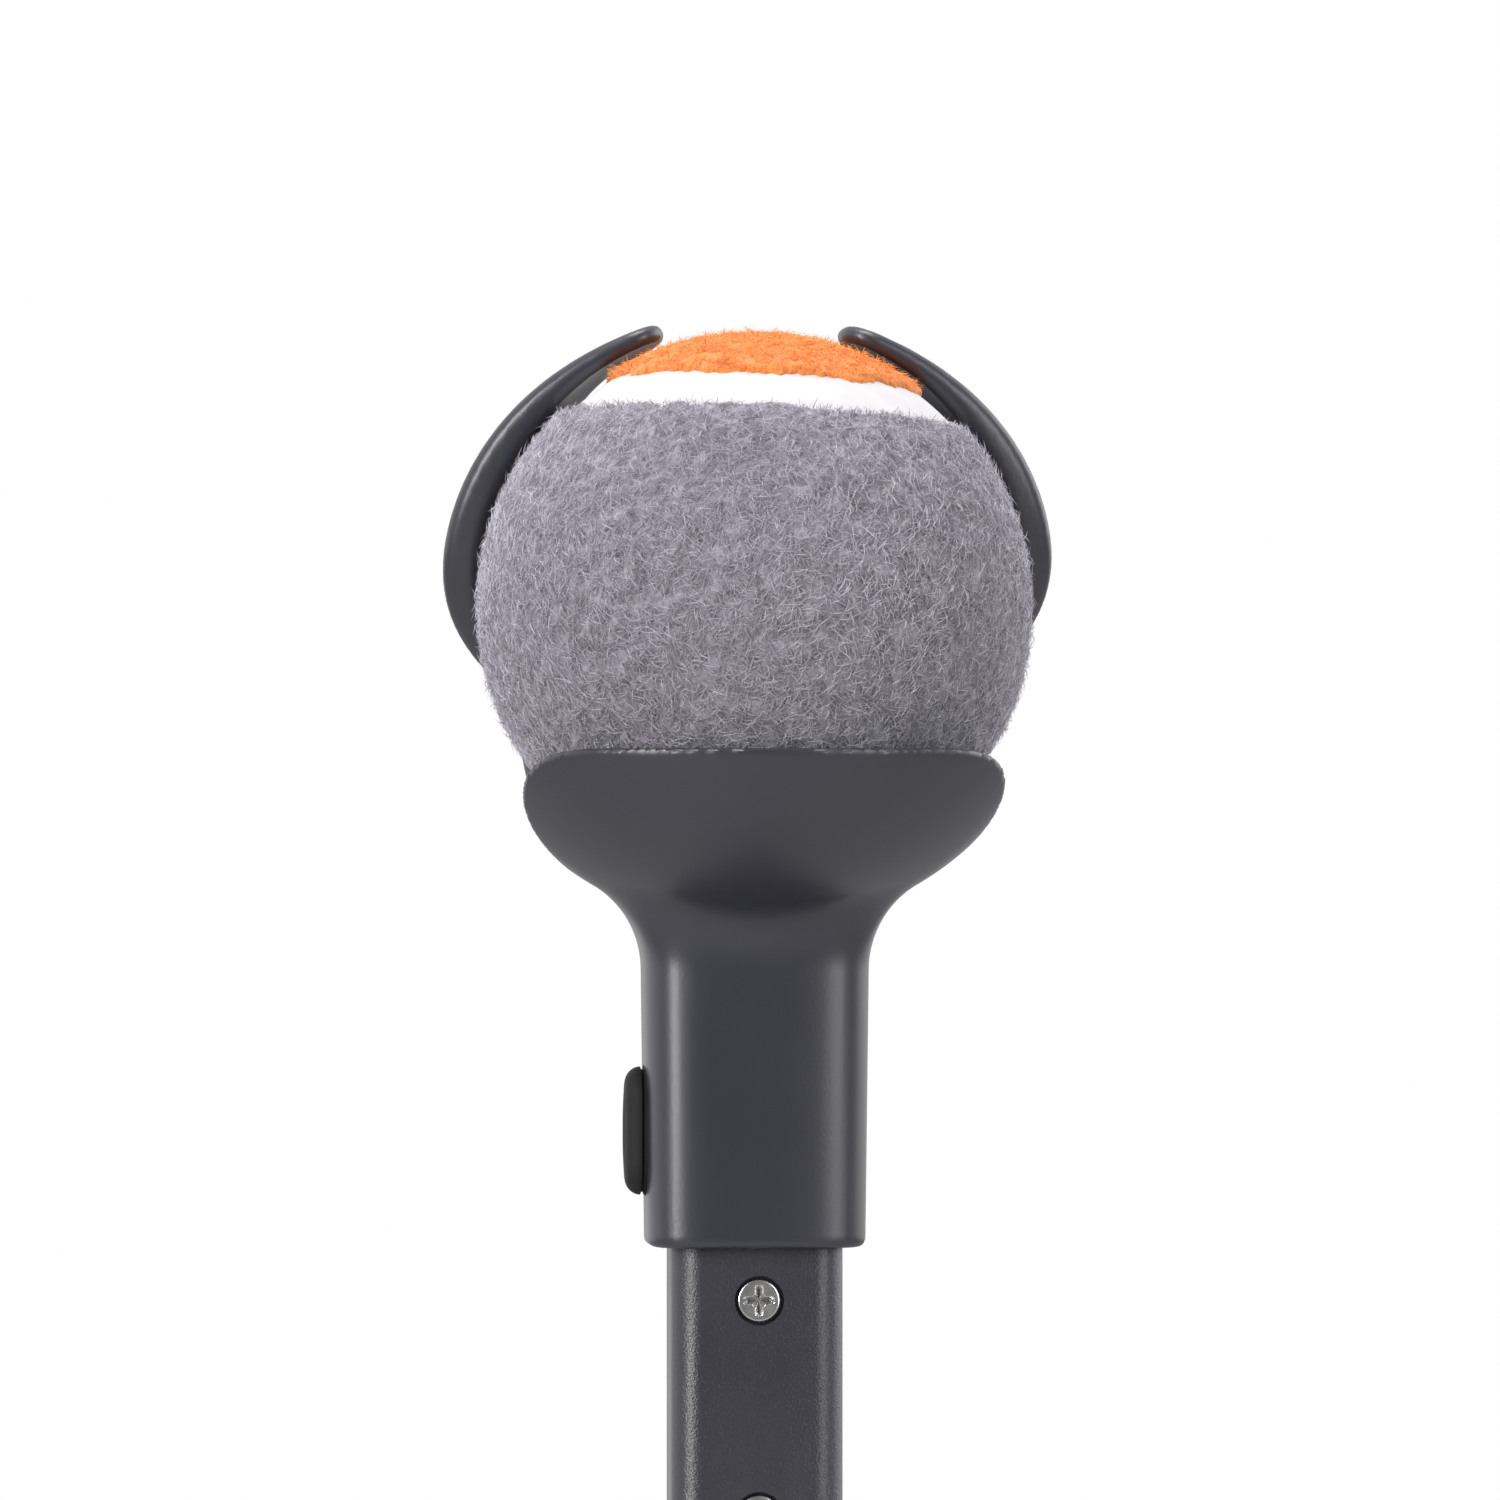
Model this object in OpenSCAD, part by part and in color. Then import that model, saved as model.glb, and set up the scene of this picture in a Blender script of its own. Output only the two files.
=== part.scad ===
// Telescopic ball launcher for dogs.
// A moulded claw head holds a felt ball and slides onto a tube, which telescopes into a handle.
// Millimetres. +Z runs up the shaft to the head, -Y is the front, and the origin is the grip's middle.

/* [Ball] */
// Diameter over the felt
ball_d = 64.4; // [61:0.2:68]
// Thickness of the felt cover
felt_t = 3.9; // [3.7:0.1:5]
// Wall of the hollow rubber core
core_wall = 3.4; // [2.5:0.1:6]
// Latitude where the grey felt ends
band_low = 43; // [30:1:46]
// Latitude where the orange felt begins
band_high = 54; // [48:1:65]
// Depth of the white band below the felt
band_recess = 1; // [0.4:0.1:2]
// Lean of the ball's pole to the right
ball_lean = 2.7; // [-10:0.1:10]
// Lean of the ball's pole to the back
ball_back = 3.5; // [-10:0.1:10]

/* [Cup and claw] */
// Play between the felt and the cup's sides
cup_play = 1.4; // [0.8:0.1:2.5]
// Gap between the felt and the cup's floor
seat_gap = 0.3; // [0.2:0.1:0.6]
// Wall of the cup at its sides
cup_wall = 3.7; // [2.8:0.1:5]
// Latitude of the front lip, below the ball's equator
lip_lat = 30.5; // [28:0.5:36]
// Latitude of the cut-outs at the cup's sides, below the equator
side_lat = 56; // [50:1:58]
// Half of the angle that the lip runs level at the front
lip_half = 39; // [30:1:50]
// Angle from the front where the cup's edge has run up into a claw arm
claw_join = 138; // [132:1:142]
// Angle that the cup laps up over the claw's lower edge
claw_lap = 5; // [4:0.5:8]
// Tilt of the claw ring's axis above the level
ring_tilt = 21; // [15:1:26]
// Angle from the ring's axis to the claw's front edge, where the arms are widest
claw_front = 75; // [70:1:77]
// Angle from the ring's axis to the claw's front edge at its root
claw_root = 61; // [58:1:64]
// Angle from the ring's axis to the claw's front edge at its tips
claw_tip = 70; // [66:1:74]
// Angle from the ring's axis to the claw's back edge
claw_back = 45; // [40:1:52]
// Angle along the ring from its lowest point to a tip
claw_reach = 160; // [150:0.5:163]
// Thickness of a claw arm at its root
arm_t = 3.6; // [2.6:0.1:3.7]
// Thickness of a claw arm at its tip
tip_t = 2; // [1.6:0.1:2.6]
// Depth of the claw's root in the cup's wall
claw_sink = 0.1; // [0.1:0.1:0.4]
// How far the claw's tips draw in towards the ball
tip_draw = 2.2; // [1:0.1:2.4]

/* [Socket] */
// Wall of the sleeve at its lower edge
sleeve_wall = 2.7; // [2.2:0.1:4]
// Growth of the sleeve per side from its lower edge to the neck
sleeve_draft = 0.4; // [0:0.1:0.8]
// Length of the sleeve
socket_l = 32; // [30:1:45]
// Height of the neck from the sleeve to the underside of the cup's sphere
neck_h = 4.8; // [4:0.1:10]
// Depth that the tube enters the sleeve
mouth_l = 5; // [4:0.5:5.5]
// Rounding of the sleeve's lower edge
sleeve_edge = 1; // [0.4:0.1:1.5]

/* [Head button] */
// Height of the button
button_h = 14.9; // [12:0.1:16]
// Width of the button
button_w = 7.2; // [6:0.1:7.6]
// Height of the button's middle above the sleeve's lower edge
button_up = 13.4; // [12.6:0.1:15]
// How far the button stands out of the sleeve
button_out = 2.5; // [2:0.1:4]
// Rounding of the button's edge
button_edge = 1.6; // [0.6:0.1:1.9]
// Wall of the sleeve that holds the button's flange
button_wall = 1.4; // [1:0.1:1.6]
// Thickness of the button's flange
flange_t = 1; // [0.8:0.1:1.2]
// Width that the flange stands out round the button
flange_lap = 0.9; // [0.6:0.1:0.9]

/* [Shaft] */
// Width of the tube
shaft_w = 20; // [19:0.5:24]
// Depth of the tube
shaft_d = 13; // [12.5:0.5:16]
// Corner radius of the tube
shaft_r = 3.6; // [3:0.1:4.5]
// Wall of the tube
shaft_wall = 2; // [1.8:0.1:2.2]
// Distance between two length notches
notch_pitch = 35; // [25:1:45]
// Steps from the longest to the shortest length
notch_steps = 6; // [3:1:8]
// Height of a notch
notch_h = 4.2; // [3.6:0.1:6]
// Width of a notch
notch_w = 6; // [5:0.1:8]
// Gap between the sleeve and the collar at the shortest length
park_gap = 2; // [1:0.5:5]

/* [Spigot and screws] */
// Length of the spigot inside the tube, below the sleeve
spigot_in = 39; // [37:1:60]
// Distance from the sleeve's lower edge to the upper screw
screw_drop = 6.1; // [5:0.1:9]
// Distance between the two screws
screw_pitch = 25; // [15:0.5:27]
// Diameter of the screw's head
head_d = 5.05; // [4.6:0.05:5.4]
// Diameter of the head's counterbore
sink_d = 5.75; // [5.6:0.05:6.4]
// Depth of the counterbore
sink_h = 1.2; // [1:0.1:1.3]
// Diameter of the screw's shank
shank_d = 2.5; // [2:0.1:2.8]
// Length of the screw's shank
shank_l = 6.5; // [5:0.5:8]
// Depth of the screw's head below the face
head_low = 0.25; // [0.1:0.05:0.4]
// Length of the cross recess
recess_l = 3; // [2.6:0.1:3.6]
// Width of the cross recess
recess_w = 0.8; // [0.6:0.05:1]

/* [Foot and guide] */
// Length of the guide bush
bush_l = 50; // [30:1:80]
// Wall of the guide bush
bush_wall = 1.3; // [1:0.1:2]
// Thickness of the bush's flange on the handle tube
bush_flange = 2; // [1.5:0.1:3]
// Thickness of the foot's flange
foot_h = 4; // [3:0.5:8]
// Length of the foot inside the tube
foot_in = 16; // [12:1:25]
// Diameter of the foot's cross pin
foot_pin_d = 2.5; // [2:0.1:4]
// Gap between the foot and the end cap's plug at the shortest length
foot_park = 1.7; // [1:0.1:4]

/* [Handle] */
// Length of the grip
grip_l = 120; // [100:1:150]
// Thickness of the grip's rubber at its ridges
grip_t = 3.6; // [3:0.1:6]
// Depth of the finger hollows
grip_wave = 1.4; // [0:0.1:2]
// Length of one finger hollow
finger_l = 24; // [20:0.5:28]
// Rounding of the grip's ends
grip_edge = 1.5; // [0.8:0.1:2]
// Gap between the grip and the end cap
cap_gap = 2; // [1:0.5:4]
// Wall of the handle tube
handle_wall = 1.8; // [1.4:0.1:3]
// Length of the end cap's plug
plug_l = 14; // [12:1:25]
// Length of the end cap below the tube
cap_l = 24; // [20:1:35]
// Diameter of the hang hole
hang_d = 7; // [4:0.5:9]
// Height of the hang hole above the end cap's lowest point
hang_up = 10; // [8:0.5:12]
// How far the end cap lies inside the grip's outline
cap_step = 1; // [0.5:0.1:2]
// Diameter of the end cap's cross pin
cap_pin_d = 3; // [2:0.1:4]

/* [Collar and lever] */
// Wall of the collar
collar_wall = 2.6; // [2.2:0.1:4]
// Length of the collar on the handle tube
collar_l = 44; // [40:1:48]
// Height of the collar's head above the handle tube
collar_head = 12; // [11:0.5:20]
// Width of the lever
lever_w = 8; // [7:0.5:10]
// Height from the lever's pin up to its tooth
tooth_arm = 25; // [20:0.5:28]
// Depth of the tooth in the notch
tooth_in = 1.6; // [1:0.1:1.7]
// Depth of the tooth below the collar's top
tooth_drop = 5; // [4:0.5:6]
// Thickness of the lever at its pin
lever_t = 5; // [4.5:0.1:7]
// Diameter of the lever's pin
lever_pin_d = 2.5; // [2:0.1:2.6]
// Thickness of the cheeks that hold the pin
cheek_t = 2.5; // [2:0.1:4]
// Rim of the cheeks round the lever's pin end
cheek_rim = 1; // [0.6:0.1:1.5]
// Length of the lever's pad below its pin
pad_drop = 14; // [12:0.5:16]
// Lean of the pad away from the collar
pad_lean = 14; // [10:1:18]
// Distance between two ribs of the pad
rib_pitch = 2.4; // [2:0.1:2.6]
// Radius of a rib of the pad
rib_r = 0.7; // [0.4:0.1:0.9]
// Width of the lock spring
lock_w = 4; // [3:0.5:6]

/* [Fits] */
// Clearance per side of a sliding fit
run_clear = 0.3; // [0.2:0.05:0.4]
// Clearance per side of a fixed fit
fit_clear = 0.1; // [0.05:0.05:0.15]
// Clearance per side round the button and the latch spring
button_clear = 0.2; // [0.15:0.05:0.25]
// Gap at a face that is glued or rests on another
seat_clear = 0.05; // [0.02:0.01:0.08]
// Thickness of the leaf springs
leaf_t = 0.5; // [0.3:0.1:0.6]

/* [Hidden] */
$fn = 48;

charcoal = [0.20, 0.20, 0.22];
dark = [0.13, 0.13, 0.14];
steel = [0.72, 0.72, 0.72];

// Overrun of a cut past the face that it opens
over = 1;

// Sections of the tube family, from the shaft outwards
bore_w = shaft_w - 2 * shaft_wall;
bore_d = shaft_d - 2 * shaft_wall;
bore_r = shaft_r - shaft_wall;
bush_w = shaft_w + 2 * (run_clear + bush_wall);
bush_d = shaft_d + 2 * (run_clear + bush_wall);
bush_r = shaft_r + run_clear + bush_wall;
handle_w = bush_w + 2 * (fit_clear + handle_wall);
handle_d = bush_d + 2 * (fit_clear + handle_wall);
handle_r = bush_r + fit_clear + handle_wall;
grip_w = handle_w + 2 * (fit_clear + grip_t);
grip_d = handle_d + 2 * (fit_clear + grip_t);
collar_w = handle_w + 2 * (fit_clear + collar_wall);
collar_d = handle_d + 2 * (fit_clear + collar_wall);
collar_r = handle_r + fit_clear + collar_wall;

// Heights, from the end cap up to the ball
travel = notch_pitch * notch_steps;
tube_bottom = -grip_l / 2 - cap_gap;
foot_parked = tube_bottom + plug_l + foot_park;
shaft_bottom = foot_parked + foot_h + travel;
tube_top = shaft_bottom + run_clear + bush_l;
collar_top = tube_top + collar_head;
tooth_z = collar_top - tooth_drop;
lever_z = tooth_z - tooth_arm;
sleeve_z = collar_top + travel + park_gap;
shaft_top = sleeve_z + mouth_l - run_clear;
pocket_top = sleeve_z + socket_l;
spigot_bottom = sleeve_z - spigot_in;
spigot_top = pocket_top - run_clear;
button_z = sleeve_z + button_up;

// The cup is two spheres, the inner one raised so that the ball rests on its floor
ball_r = ball_d / 2;
cup_in = ball_r + cup_play;
cup_out = cup_in + cup_wall;
cup_lift = cup_play - seat_gap;
neck_drop = cup_out + neck_h;
ball_z = pocket_top + neck_drop;

// Sleeve section at its lower edge, and at the button
sleeve_hw = shaft_w / 2 + sleeve_wall;
sleeve_hd = shaft_d / 2 + sleeve_wall;
sleeve_r = shaft_r + sleeve_wall;
button_face = sleeve_hw + sleeve_draft * button_up / socket_l;
spigot_hw = bore_w / 2 - fit_clear;
spigot_hd = bore_d / 2 - fit_clear;
spigot_r = bore_r - fit_clear;
flange_seat = button_face - button_wall;
flange_in = flange_seat - button_clear - flange_t;

// Rounded rectangle, from true arcs
module rounded(w, d, r) {
    square([w - 2 * r, d], center = true);
    square([w, d - 2 * r], center = true);
    for (x = [-1, 1], y = [-1, 1])
        translate([x * (w / 2 - r), y * (d / 2 - r)]) circle(r);
}

// Straight bar of rounded section between two heights
module bar(w, d, r, low, high) {
    translate([0, 0, low]) linear_extrude(high - low) rounded(w, d, r);
}

// Slot with round ends that runs along X from x0 to x1, tall along Z
module slot_x(h, w, x0, x1) {
    translate([x0, -w / 2, -(h - w) / 2]) cube([x1 - x0, w, h - w]);
    for (s = [-1, 1])
        translate([x0, 0, s * (h - w) / 2]) rotate([0, 90, 0]) cylinder(d = w, h = x1 - x0);
}

// Bent strip of spring leaf: straight runs between points in a plane, with round joints
module leaf(points, t) {
    for (i = [0 : len(points) - 2]) {
        run = points[i + 1] - points[i];
        translate(points[i]) rotate(atan2(run.y, run.x)) translate([0, -t / 2]) square([norm(run), t]);
    }
    for (p = points) translate(p) circle(d = t);
}

// Closed skin over a stack of rings with equal counts, capped at both ends
module skin(rings) {
    n = len(rings[0]);
    m = len(rings);
    top = (m - 1) * n;
    sides = [for (i = [0 : m - 2], j = [0 : n - 1])
        let (a = i * n + j, b = i * n + (j + 1) % n, c = b + n, d = a + n)
        each [[a, c, b], [a, d, c]]];
    caps = [for (j = [1 : n - 2]) each [[0, j, j + 1], [top, top + j + 1, top + j]]];
    polyhedron([for (r = rings) each r], concat(sides, caps));
}

// Distance from the middle of a rounded rectangle to its edge, at angle a from +X
function edge_at(a, hw, hd, r) =
    let (c = abs(cos(a)), s = abs(sin(a)), x = hw - r, y = hd - r, m = c * x + s * y)
    s * hw <= c * y ? hw / c
    : c * hd <= s * x ? hd / s
    : m + sqrt(m * m - x * x - y * y + r * r);

// Angle over which the lip falls to the sides, how gently it leaves the level, and the angle from
// the front where the sides' low stretch ends
lip_fall = 55;
lip_ease = 1.7;
side_end = 110;

// Steps of the head's half section, round its lower edge, neck, cup, rim and floor
edge_steps = 3;
neck_steps = 8;
cup_steps = 7;
rim_steps = 6;
floor_steps = 9;
floor_end = -86;

function smooth(t) = let (u = min(max(t, 0), 1)) u * u * (3 - 2 * u);

// Latitude of the claw's lower edge at an angle from the front
function claw_lat(front) =
    let (up = sin(ring_tilt), out = -cos(ring_tilt) * cos(front))
    asin(cos(claw_root) / norm([up, out])) - atan2(out, up);

// Latitude of the cup's rim at an angle from the front: a level lip that curves down to the low
// sides, then climbs into the claw arms and stays inside them round the back
function rim_lat(front) =
    let (fall = smooth(pow(max(front - lip_half, 0) / lip_fall, lip_ease)),
         rise = smooth((front - side_end) / (claw_join - side_end)),
         claw = claw_lat(max(front, claw_join)) + claw_lap)
    (claw + side_lat) * rise - lip_lat - (side_lat - lip_lat) * fall;

// Half section of the head's outer form at angle a: sleeve, neck fillet, cup, rim and cup floor,
// as [distance from the axis, height above the ball's centre]
function head_section(a) =
    let (low = edge_at(a, sleeve_hw, sleeve_hd, sleeve_r),
         high = low + sleeve_draft,
         fillet = (high * high + neck_drop * neck_drop - cup_out * cup_out) / (2 * (cup_out - high)),
         start = atan2(-neck_drop, high + fillet),
         turn = atan2(neck_drop, -high - fillet),
         rim = rim_lat(abs((a + 270) % 360 - 180)),
         along = [cos(rim), sin(rim)],
         inner = cup_lift * sin(rim) + sqrt(cup_in * cup_in - pow(cup_lift * cos(rim), 2)),
         middle = (cup_out + inner) / 2,
         half = (cup_out - inner) / 2,
         floor_start = atan2(inner * sin(rim) - cup_lift, inner * cos(rim)))
    concat(
        [for (k = [0 : edge_steps]) let (t = 90 * k / edge_steps)
            [low - sleeve_edge * (1 - sin(t)), -neck_drop - socket_l + sleeve_edge * (1 - cos(t))]],
        [for (k = [0 : neck_steps]) let (t = 180 + (turn - 180) * k / neck_steps)
            [high + fillet + fillet * cos(t), -neck_drop + fillet * sin(t)]],
        [for (k = [1 : cup_steps]) let (t = start + (rim - start) * k / cup_steps)
            cup_out * [cos(t), sin(t)]],
        [for (k = [1 : rim_steps]) let (t = 180 * k / rim_steps)
            middle * along + half * (cos(t) * along + sin(t) * [-along.y, along.x])],
        [for (k = [1 : floor_steps]) let (t = floor_start + (floor_end - floor_start) * k / floor_steps)
            cup_in * [cos(t), sin(t)] + [0, cup_lift]]);

head_columns = 90;
head_sections = [for (j = [0 : head_columns - 1]) head_section(360 * j / head_columns)];
head_rings = [for (i = [0 : len(head_sections[0]) - 1]) [for (j = [0 : head_columns - 1])
    let (a = 360 * j / head_columns, p = head_sections[j][i]) [p[0] * cos(a), p[0] * sin(a), p[1]]]];

// Direction on the claw ring: angle from the ring's axis, and angle along it from its lowest point
function ring_dir(off, along) =
    cos(off) * [0, cos(ring_tilt), sin(ring_tilt)]
    + sin(off) * (cos(along) * [0, sin(ring_tilt), -cos(ring_tilt)] + sin(along) * [1, 0, 0]);

// Angles along the ring where the front edge leaves the root and where it's widest, where the arms
// begin to thin and to narrow, and how much they narrow
root_end = 50;
wide_at = 98;
thin_from = 60;
narrow_from = 90;
tip_narrow = 11;

// Section of the claw at an angle along the ring: a flat bar with round edges, thinner and
// narrower towards the tips, drawn in by shrink at the round ends
function claw_ring(along, shrink) =
    let (t = smooth((abs(along) - thin_from) / (claw_reach - thin_from)),
         thick = arm_t + (tip_t - arm_t) * t,
         out = cup_out - claw_sink - tip_draw * t * t,
         radius = out - thick / 2,
         rise = smooth((abs(along) - root_end) / (wide_at - root_end)),
         fall = smooth((abs(along) - wide_at) / (claw_reach - wide_at)),
         front = claw_root + (claw_front - claw_root) * rise - (claw_front - claw_tip) * fall,
         back = claw_back + tip_narrow * smooth((abs(along) - narrow_from) / (claw_reach - narrow_from)),
         half_w = radius * (front - back) * PI / 360 * shrink,
         half_t = thick / 2 * shrink)
    [for (side = [0, 180], k = [-3 : 3])
        let (f = side + 30 * k,
             u = (side == 0 ? 1 : -1) * (half_w - half_t) + half_t * cos(f),
             v = half_t * sin(f))
        (radius + v) * ring_dir((front + back) / 2 + u / radius * 180 / PI, along)];

// The tips are rounded over the last few degrees of the ring
tip_round = 6;
tip_turns = [15, 35, 60, 90];
arm_steps = 20;
claw_rings = concat(
    [for (e = tip_turns) claw_ring(-claw_reach + tip_round * (1 - cos(e)), sin(e))],
    [for (k = [1 - arm_steps : arm_steps - 1]) claw_ring(k / arm_steps * (claw_reach - tip_round), 1)],
    [for (k = [len(tip_turns) - 1 : -1 : 0]) let (e = tip_turns[k])
        claw_ring(claw_reach - tip_round * (1 - cos(e)), sin(e))]);

// One moulding: sleeve, neck, cup and claw, bored for the tube, the spigot and the button
module launcher_head() color(charcoal) difference() {
    translate([0, 0, ball_z]) {
        skin(head_rings);
        skin(claw_rings);
    }
    bar(shaft_w + 2 * run_clear, shaft_d + 2 * run_clear, shaft_r + run_clear,
        sleeve_z - over, sleeve_z + mouth_l);
    bar(2 * (spigot_hw + run_clear), 2 * (spigot_hd + run_clear), spigot_r + run_clear, sleeve_z, pocket_top);
    translate([0, 0, button_z]) {
        slot_x(button_h + 2 * button_clear, button_w + 2 * button_clear, -button_face - over, 0);
        slot_x(button_h + 2 * (flange_lap + button_clear), button_w + 2 * (flange_lap + button_clear),
               -flange_seat, 0);
    }
}

// Half outline of the button, from its middle line to its edge
module button_outline() {
    reach = button_face + button_out - flange_in;
    square([button_w / 2 - button_edge, reach]);
    square([button_w / 2, reach - button_edge]);
    translate([button_w / 2 - button_edge, reach - button_edge]) circle(button_edge);
    square([button_w / 2 + flange_lap, flange_t]);
}

// Press button: a bar with round ends and a rounded face, and a flange behind the sleeve's wall
module head_button() color(dark)
    translate([-flange_in, 0, button_z]) rotate([0, -90, 0]) {
        run = button_h - button_w;
        for (s = [0, 180]) rotate(s) translate([run / 2, 0, 0]) rotate(-90)
            rotate_extrude(angle = 180) intersection() {
                button_outline();
                square([button_h, button_h]);
            }
        translate([-run / 2, 0, 0]) rotate([90, 0, 90]) linear_extrude(run) {
            button_outline();
            mirror([1, 0]) button_outline();
        }
    }

// Hairpin of the latch: half its width, its legs' places across the spigot, its ends above and its
// bend below the button's middle, and its nose
latch_half = 2.4;
latch_x = spigot_hw - 1.6;
latch_up = 8;
latch_down = 13.6;
latch_bend = 1.6;
nose_x = flange_in - button_clear - leaf_t / 2;
nose_half = 1.6;
nose_foot = 3.4;

// Hairpin leaf spring: its nose stands out of the spigot behind the button
module latch_spring() color(steel) translate([0, latch_half, button_z]) rotate([90, 0, 0])
    linear_extrude(2 * latch_half) leaf([
        [0, latch_up], [0, latch_bend - latch_down], [-latch_bend, -latch_down],
        [latch_bend - latch_x, -latch_down], [-latch_x, latch_bend - latch_down], [-latch_x, -nose_foot],
        [-nose_x, -nose_half], [-nose_x, nose_half], [-latch_x, nose_foot], [-latch_x, latch_up]], leaf_t);

// Insert that is screwed into the tube's top end and carries the head
module head_spigot() color(dark) difference() {
    bar(2 * spigot_hw, 2 * spigot_hd, spigot_r, spigot_bottom, spigot_top);
    room = leaf_t / 2 + button_clear;
    translate([-spigot_hw - over, -latch_half - button_clear, button_z - latch_down - room])
        cube([spigot_hw + over + leaf_t / 2 + seat_clear, 2 * (latch_half + button_clear),
              latch_down + latch_up + 2 * room]);
    screw_places() cylinder(d = shank_d + 2 * fit_clear, h = shank_l + shaft_wall);
}

// Places of the two screws, with Z running into the tube from its front
module screw_places() {
    for (k = [0, 1])
        translate([0, -shaft_d / 2, sleeve_z - screw_drop - k * screw_pitch]) rotate([-90, 0, 0]) children();
}

// Share of the head's height that the recess is deep
recess_share = 0.7;

// Cross-recess screw that starts at the bottom of its counterbore, with its head towards -Z
module cross_screw(head_h, length) {
    difference() {
        union() {
            translate([0, 0, -head_h]) cylinder(d = head_d, h = head_h);
            cylinder(d = shank_d, h = length);
        }
        for (t = [0, 90]) rotate(t) translate([-recess_l / 2, -recess_w / 2, -head_h - over])
            cube([recess_l, recess_w, over + head_h * recess_share]);
    }
}

module spigot_screws() color(steel) screw_places()
    translate([0, 0, sink_h]) cross_screw(sink_h - head_low, shank_l);

// Rounded tube with two counterbored screw holes in front and length notches behind
module shaft_tube() color(charcoal) difference() {
    bar(shaft_w, shaft_d, shaft_r, shaft_bottom, shaft_top);
    bar(bore_w, bore_d, bore_r, shaft_bottom - over, shaft_top + over);
    screw_places() {
        translate([0, 0, -over]) cylinder(d = sink_d, h = over + sink_h);
        cylinder(d = shank_d + 2 * fit_clear, h = shaft_wall + over);
    }
    for (k = [0 : notch_steps])
        translate([-notch_w / 2, shaft_d / 2 - shaft_wall - over, tooth_z + k * notch_pitch - notch_h / 2])
            cube([notch_w, shaft_wall + 2 * over, notch_h]);
    foot_pin_place(foot_pin_d + 2 * fit_clear, shaft_d + 2 * over);
}

module foot_pin_place(d, l) {
    translate([0, 0, shaft_bottom + foot_in / 2]) rotate([90, 0, 0]) cylinder(d = d, h = l, center = true);
}

// Slide foot: its flange runs in the handle tube and stops under the guide bush
module shaft_foot() color(dark) difference() {
    union() {
        bar(bush_w + 2 * (fit_clear - run_clear), bush_d + 2 * (fit_clear - run_clear), bush_r - run_clear,
            shaft_bottom - foot_h, shaft_bottom);
        bar(bore_w - 2 * fit_clear, bore_d - 2 * fit_clear, bore_r - fit_clear,
            shaft_bottom - over, shaft_bottom + foot_in);
    }
    foot_pin_place(foot_pin_d + 2 * fit_clear, shaft_d + 2 * over);
}

module foot_pin() color(steel) foot_pin_place(foot_pin_d, shaft_d - 2 * run_clear);

// Places of the two collar screws, with Z running inwards
module collar_screw_places() {
    for (s = [0, 180]) rotate(s)
        translate([-collar_w / 2, 0, tube_top - collar_l / 2]) rotate([0, 90, 0]) children();
}

// Walls that a collar screw goes through, and its shank below the counterbore
screwed_walls = collar_wall + handle_wall + bush_wall + 2 * fit_clear;
collar_screw_l = screwed_walls - sink_h - run_clear;

module collar_screws() color(steel) collar_screw_places()
    translate([0, 0, sink_h]) cross_screw(sink_h - head_low, collar_screw_l);

module handle_tube() color(charcoal) difference() {
    bar(handle_w, handle_d, handle_r, tube_bottom, tube_top);
    bar(handle_w - 2 * handle_wall, handle_d - 2 * handle_wall, handle_r - handle_wall,
        tube_bottom - over, tube_top + over);
    collar_screw_places() cylinder(d = shank_d + 2 * fit_clear, h = screwed_walls + over);
    cap_pin_place(cap_pin_d + 2 * fit_clear, handle_w + 2 * over);
}

// Liner that guides the shaft, hung from the handle tube's top by a flange
module guide_bush() color(dark) difference() {
    union() {
        bar(bush_w, bush_d, bush_r, tube_top - bush_l, tube_top + bush_flange);
        bar(handle_w, handle_d, handle_r, tube_top, tube_top + bush_flange);
    }
    bar(shaft_w + 2 * run_clear, shaft_d + 2 * run_clear, shaft_r + run_clear,
        tube_top - bush_l - over, tube_top + bush_flange + over);
    collar_screw_places() cylinder(d = shank_d + 2 * fit_clear, h = screwed_walls + over);
}

lever_y = collar_d / 2 + run_clear + lever_t / 2;
cheek_x = lever_w / 2 + run_clear;

// The tooth climbs a little as it swings out of a notch, so it is lower than the notch is high
tooth_rise = (tooth_in + run_clear) * (lever_y - shaft_d / 2 + tooth_in) / tooth_arm;
tooth_h = notch_h - 2 * run_clear - tooth_rise;

// Collar over the handle tube's top, with cheeks for the lever behind and a slot for its tooth
module collar() color(dark) difference() {
    union() {
        bar(collar_w, collar_d, collar_r, tube_top - collar_l, collar_top);
        for (s = [-1, 1])
            translate([s * (cheek_x + cheek_t / 2), 0, lever_z]) rotate([0, 90, 0])
                linear_extrude(cheek_t, center = true) {
                    translate([0, lever_y]) circle(lever_t / 2 + cheek_rim);
                    translate([-lever_t / 2 - cheek_rim, collar_d / 2 - collar_wall])
                        square([lever_t + 2 * cheek_rim, lever_y - collar_d / 2 + collar_wall]);
                }
    }
    bar(handle_w + 2 * fit_clear, handle_d + 2 * fit_clear, handle_r + fit_clear,
        tube_top - collar_l - over, tube_top + bush_flange + fit_clear);
    bar(shaft_w + 2 * run_clear, shaft_d + 2 * run_clear, shaft_r + run_clear, tube_top, collar_top + over);
    translate([-notch_w / 2, 0, tooth_z - notch_h / 2]) cube([notch_w, collar_d, notch_h + tooth_rise]);
    collar_screw_places() {
        translate([0, 0, -over]) cylinder(d = sink_d, h = over + sink_h);
        cylinder(d = shank_d + 2 * fit_clear, h = collar_wall + over);
    }
    lever_pin_place(lever_pin_d + 2 * fit_clear, collar_w);
}

module lever_pin_place(d, l) {
    translate([0, lever_y, lever_z]) rotate([0, 90, 0]) cylinder(d = d, h = l, center = true);
}

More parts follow.
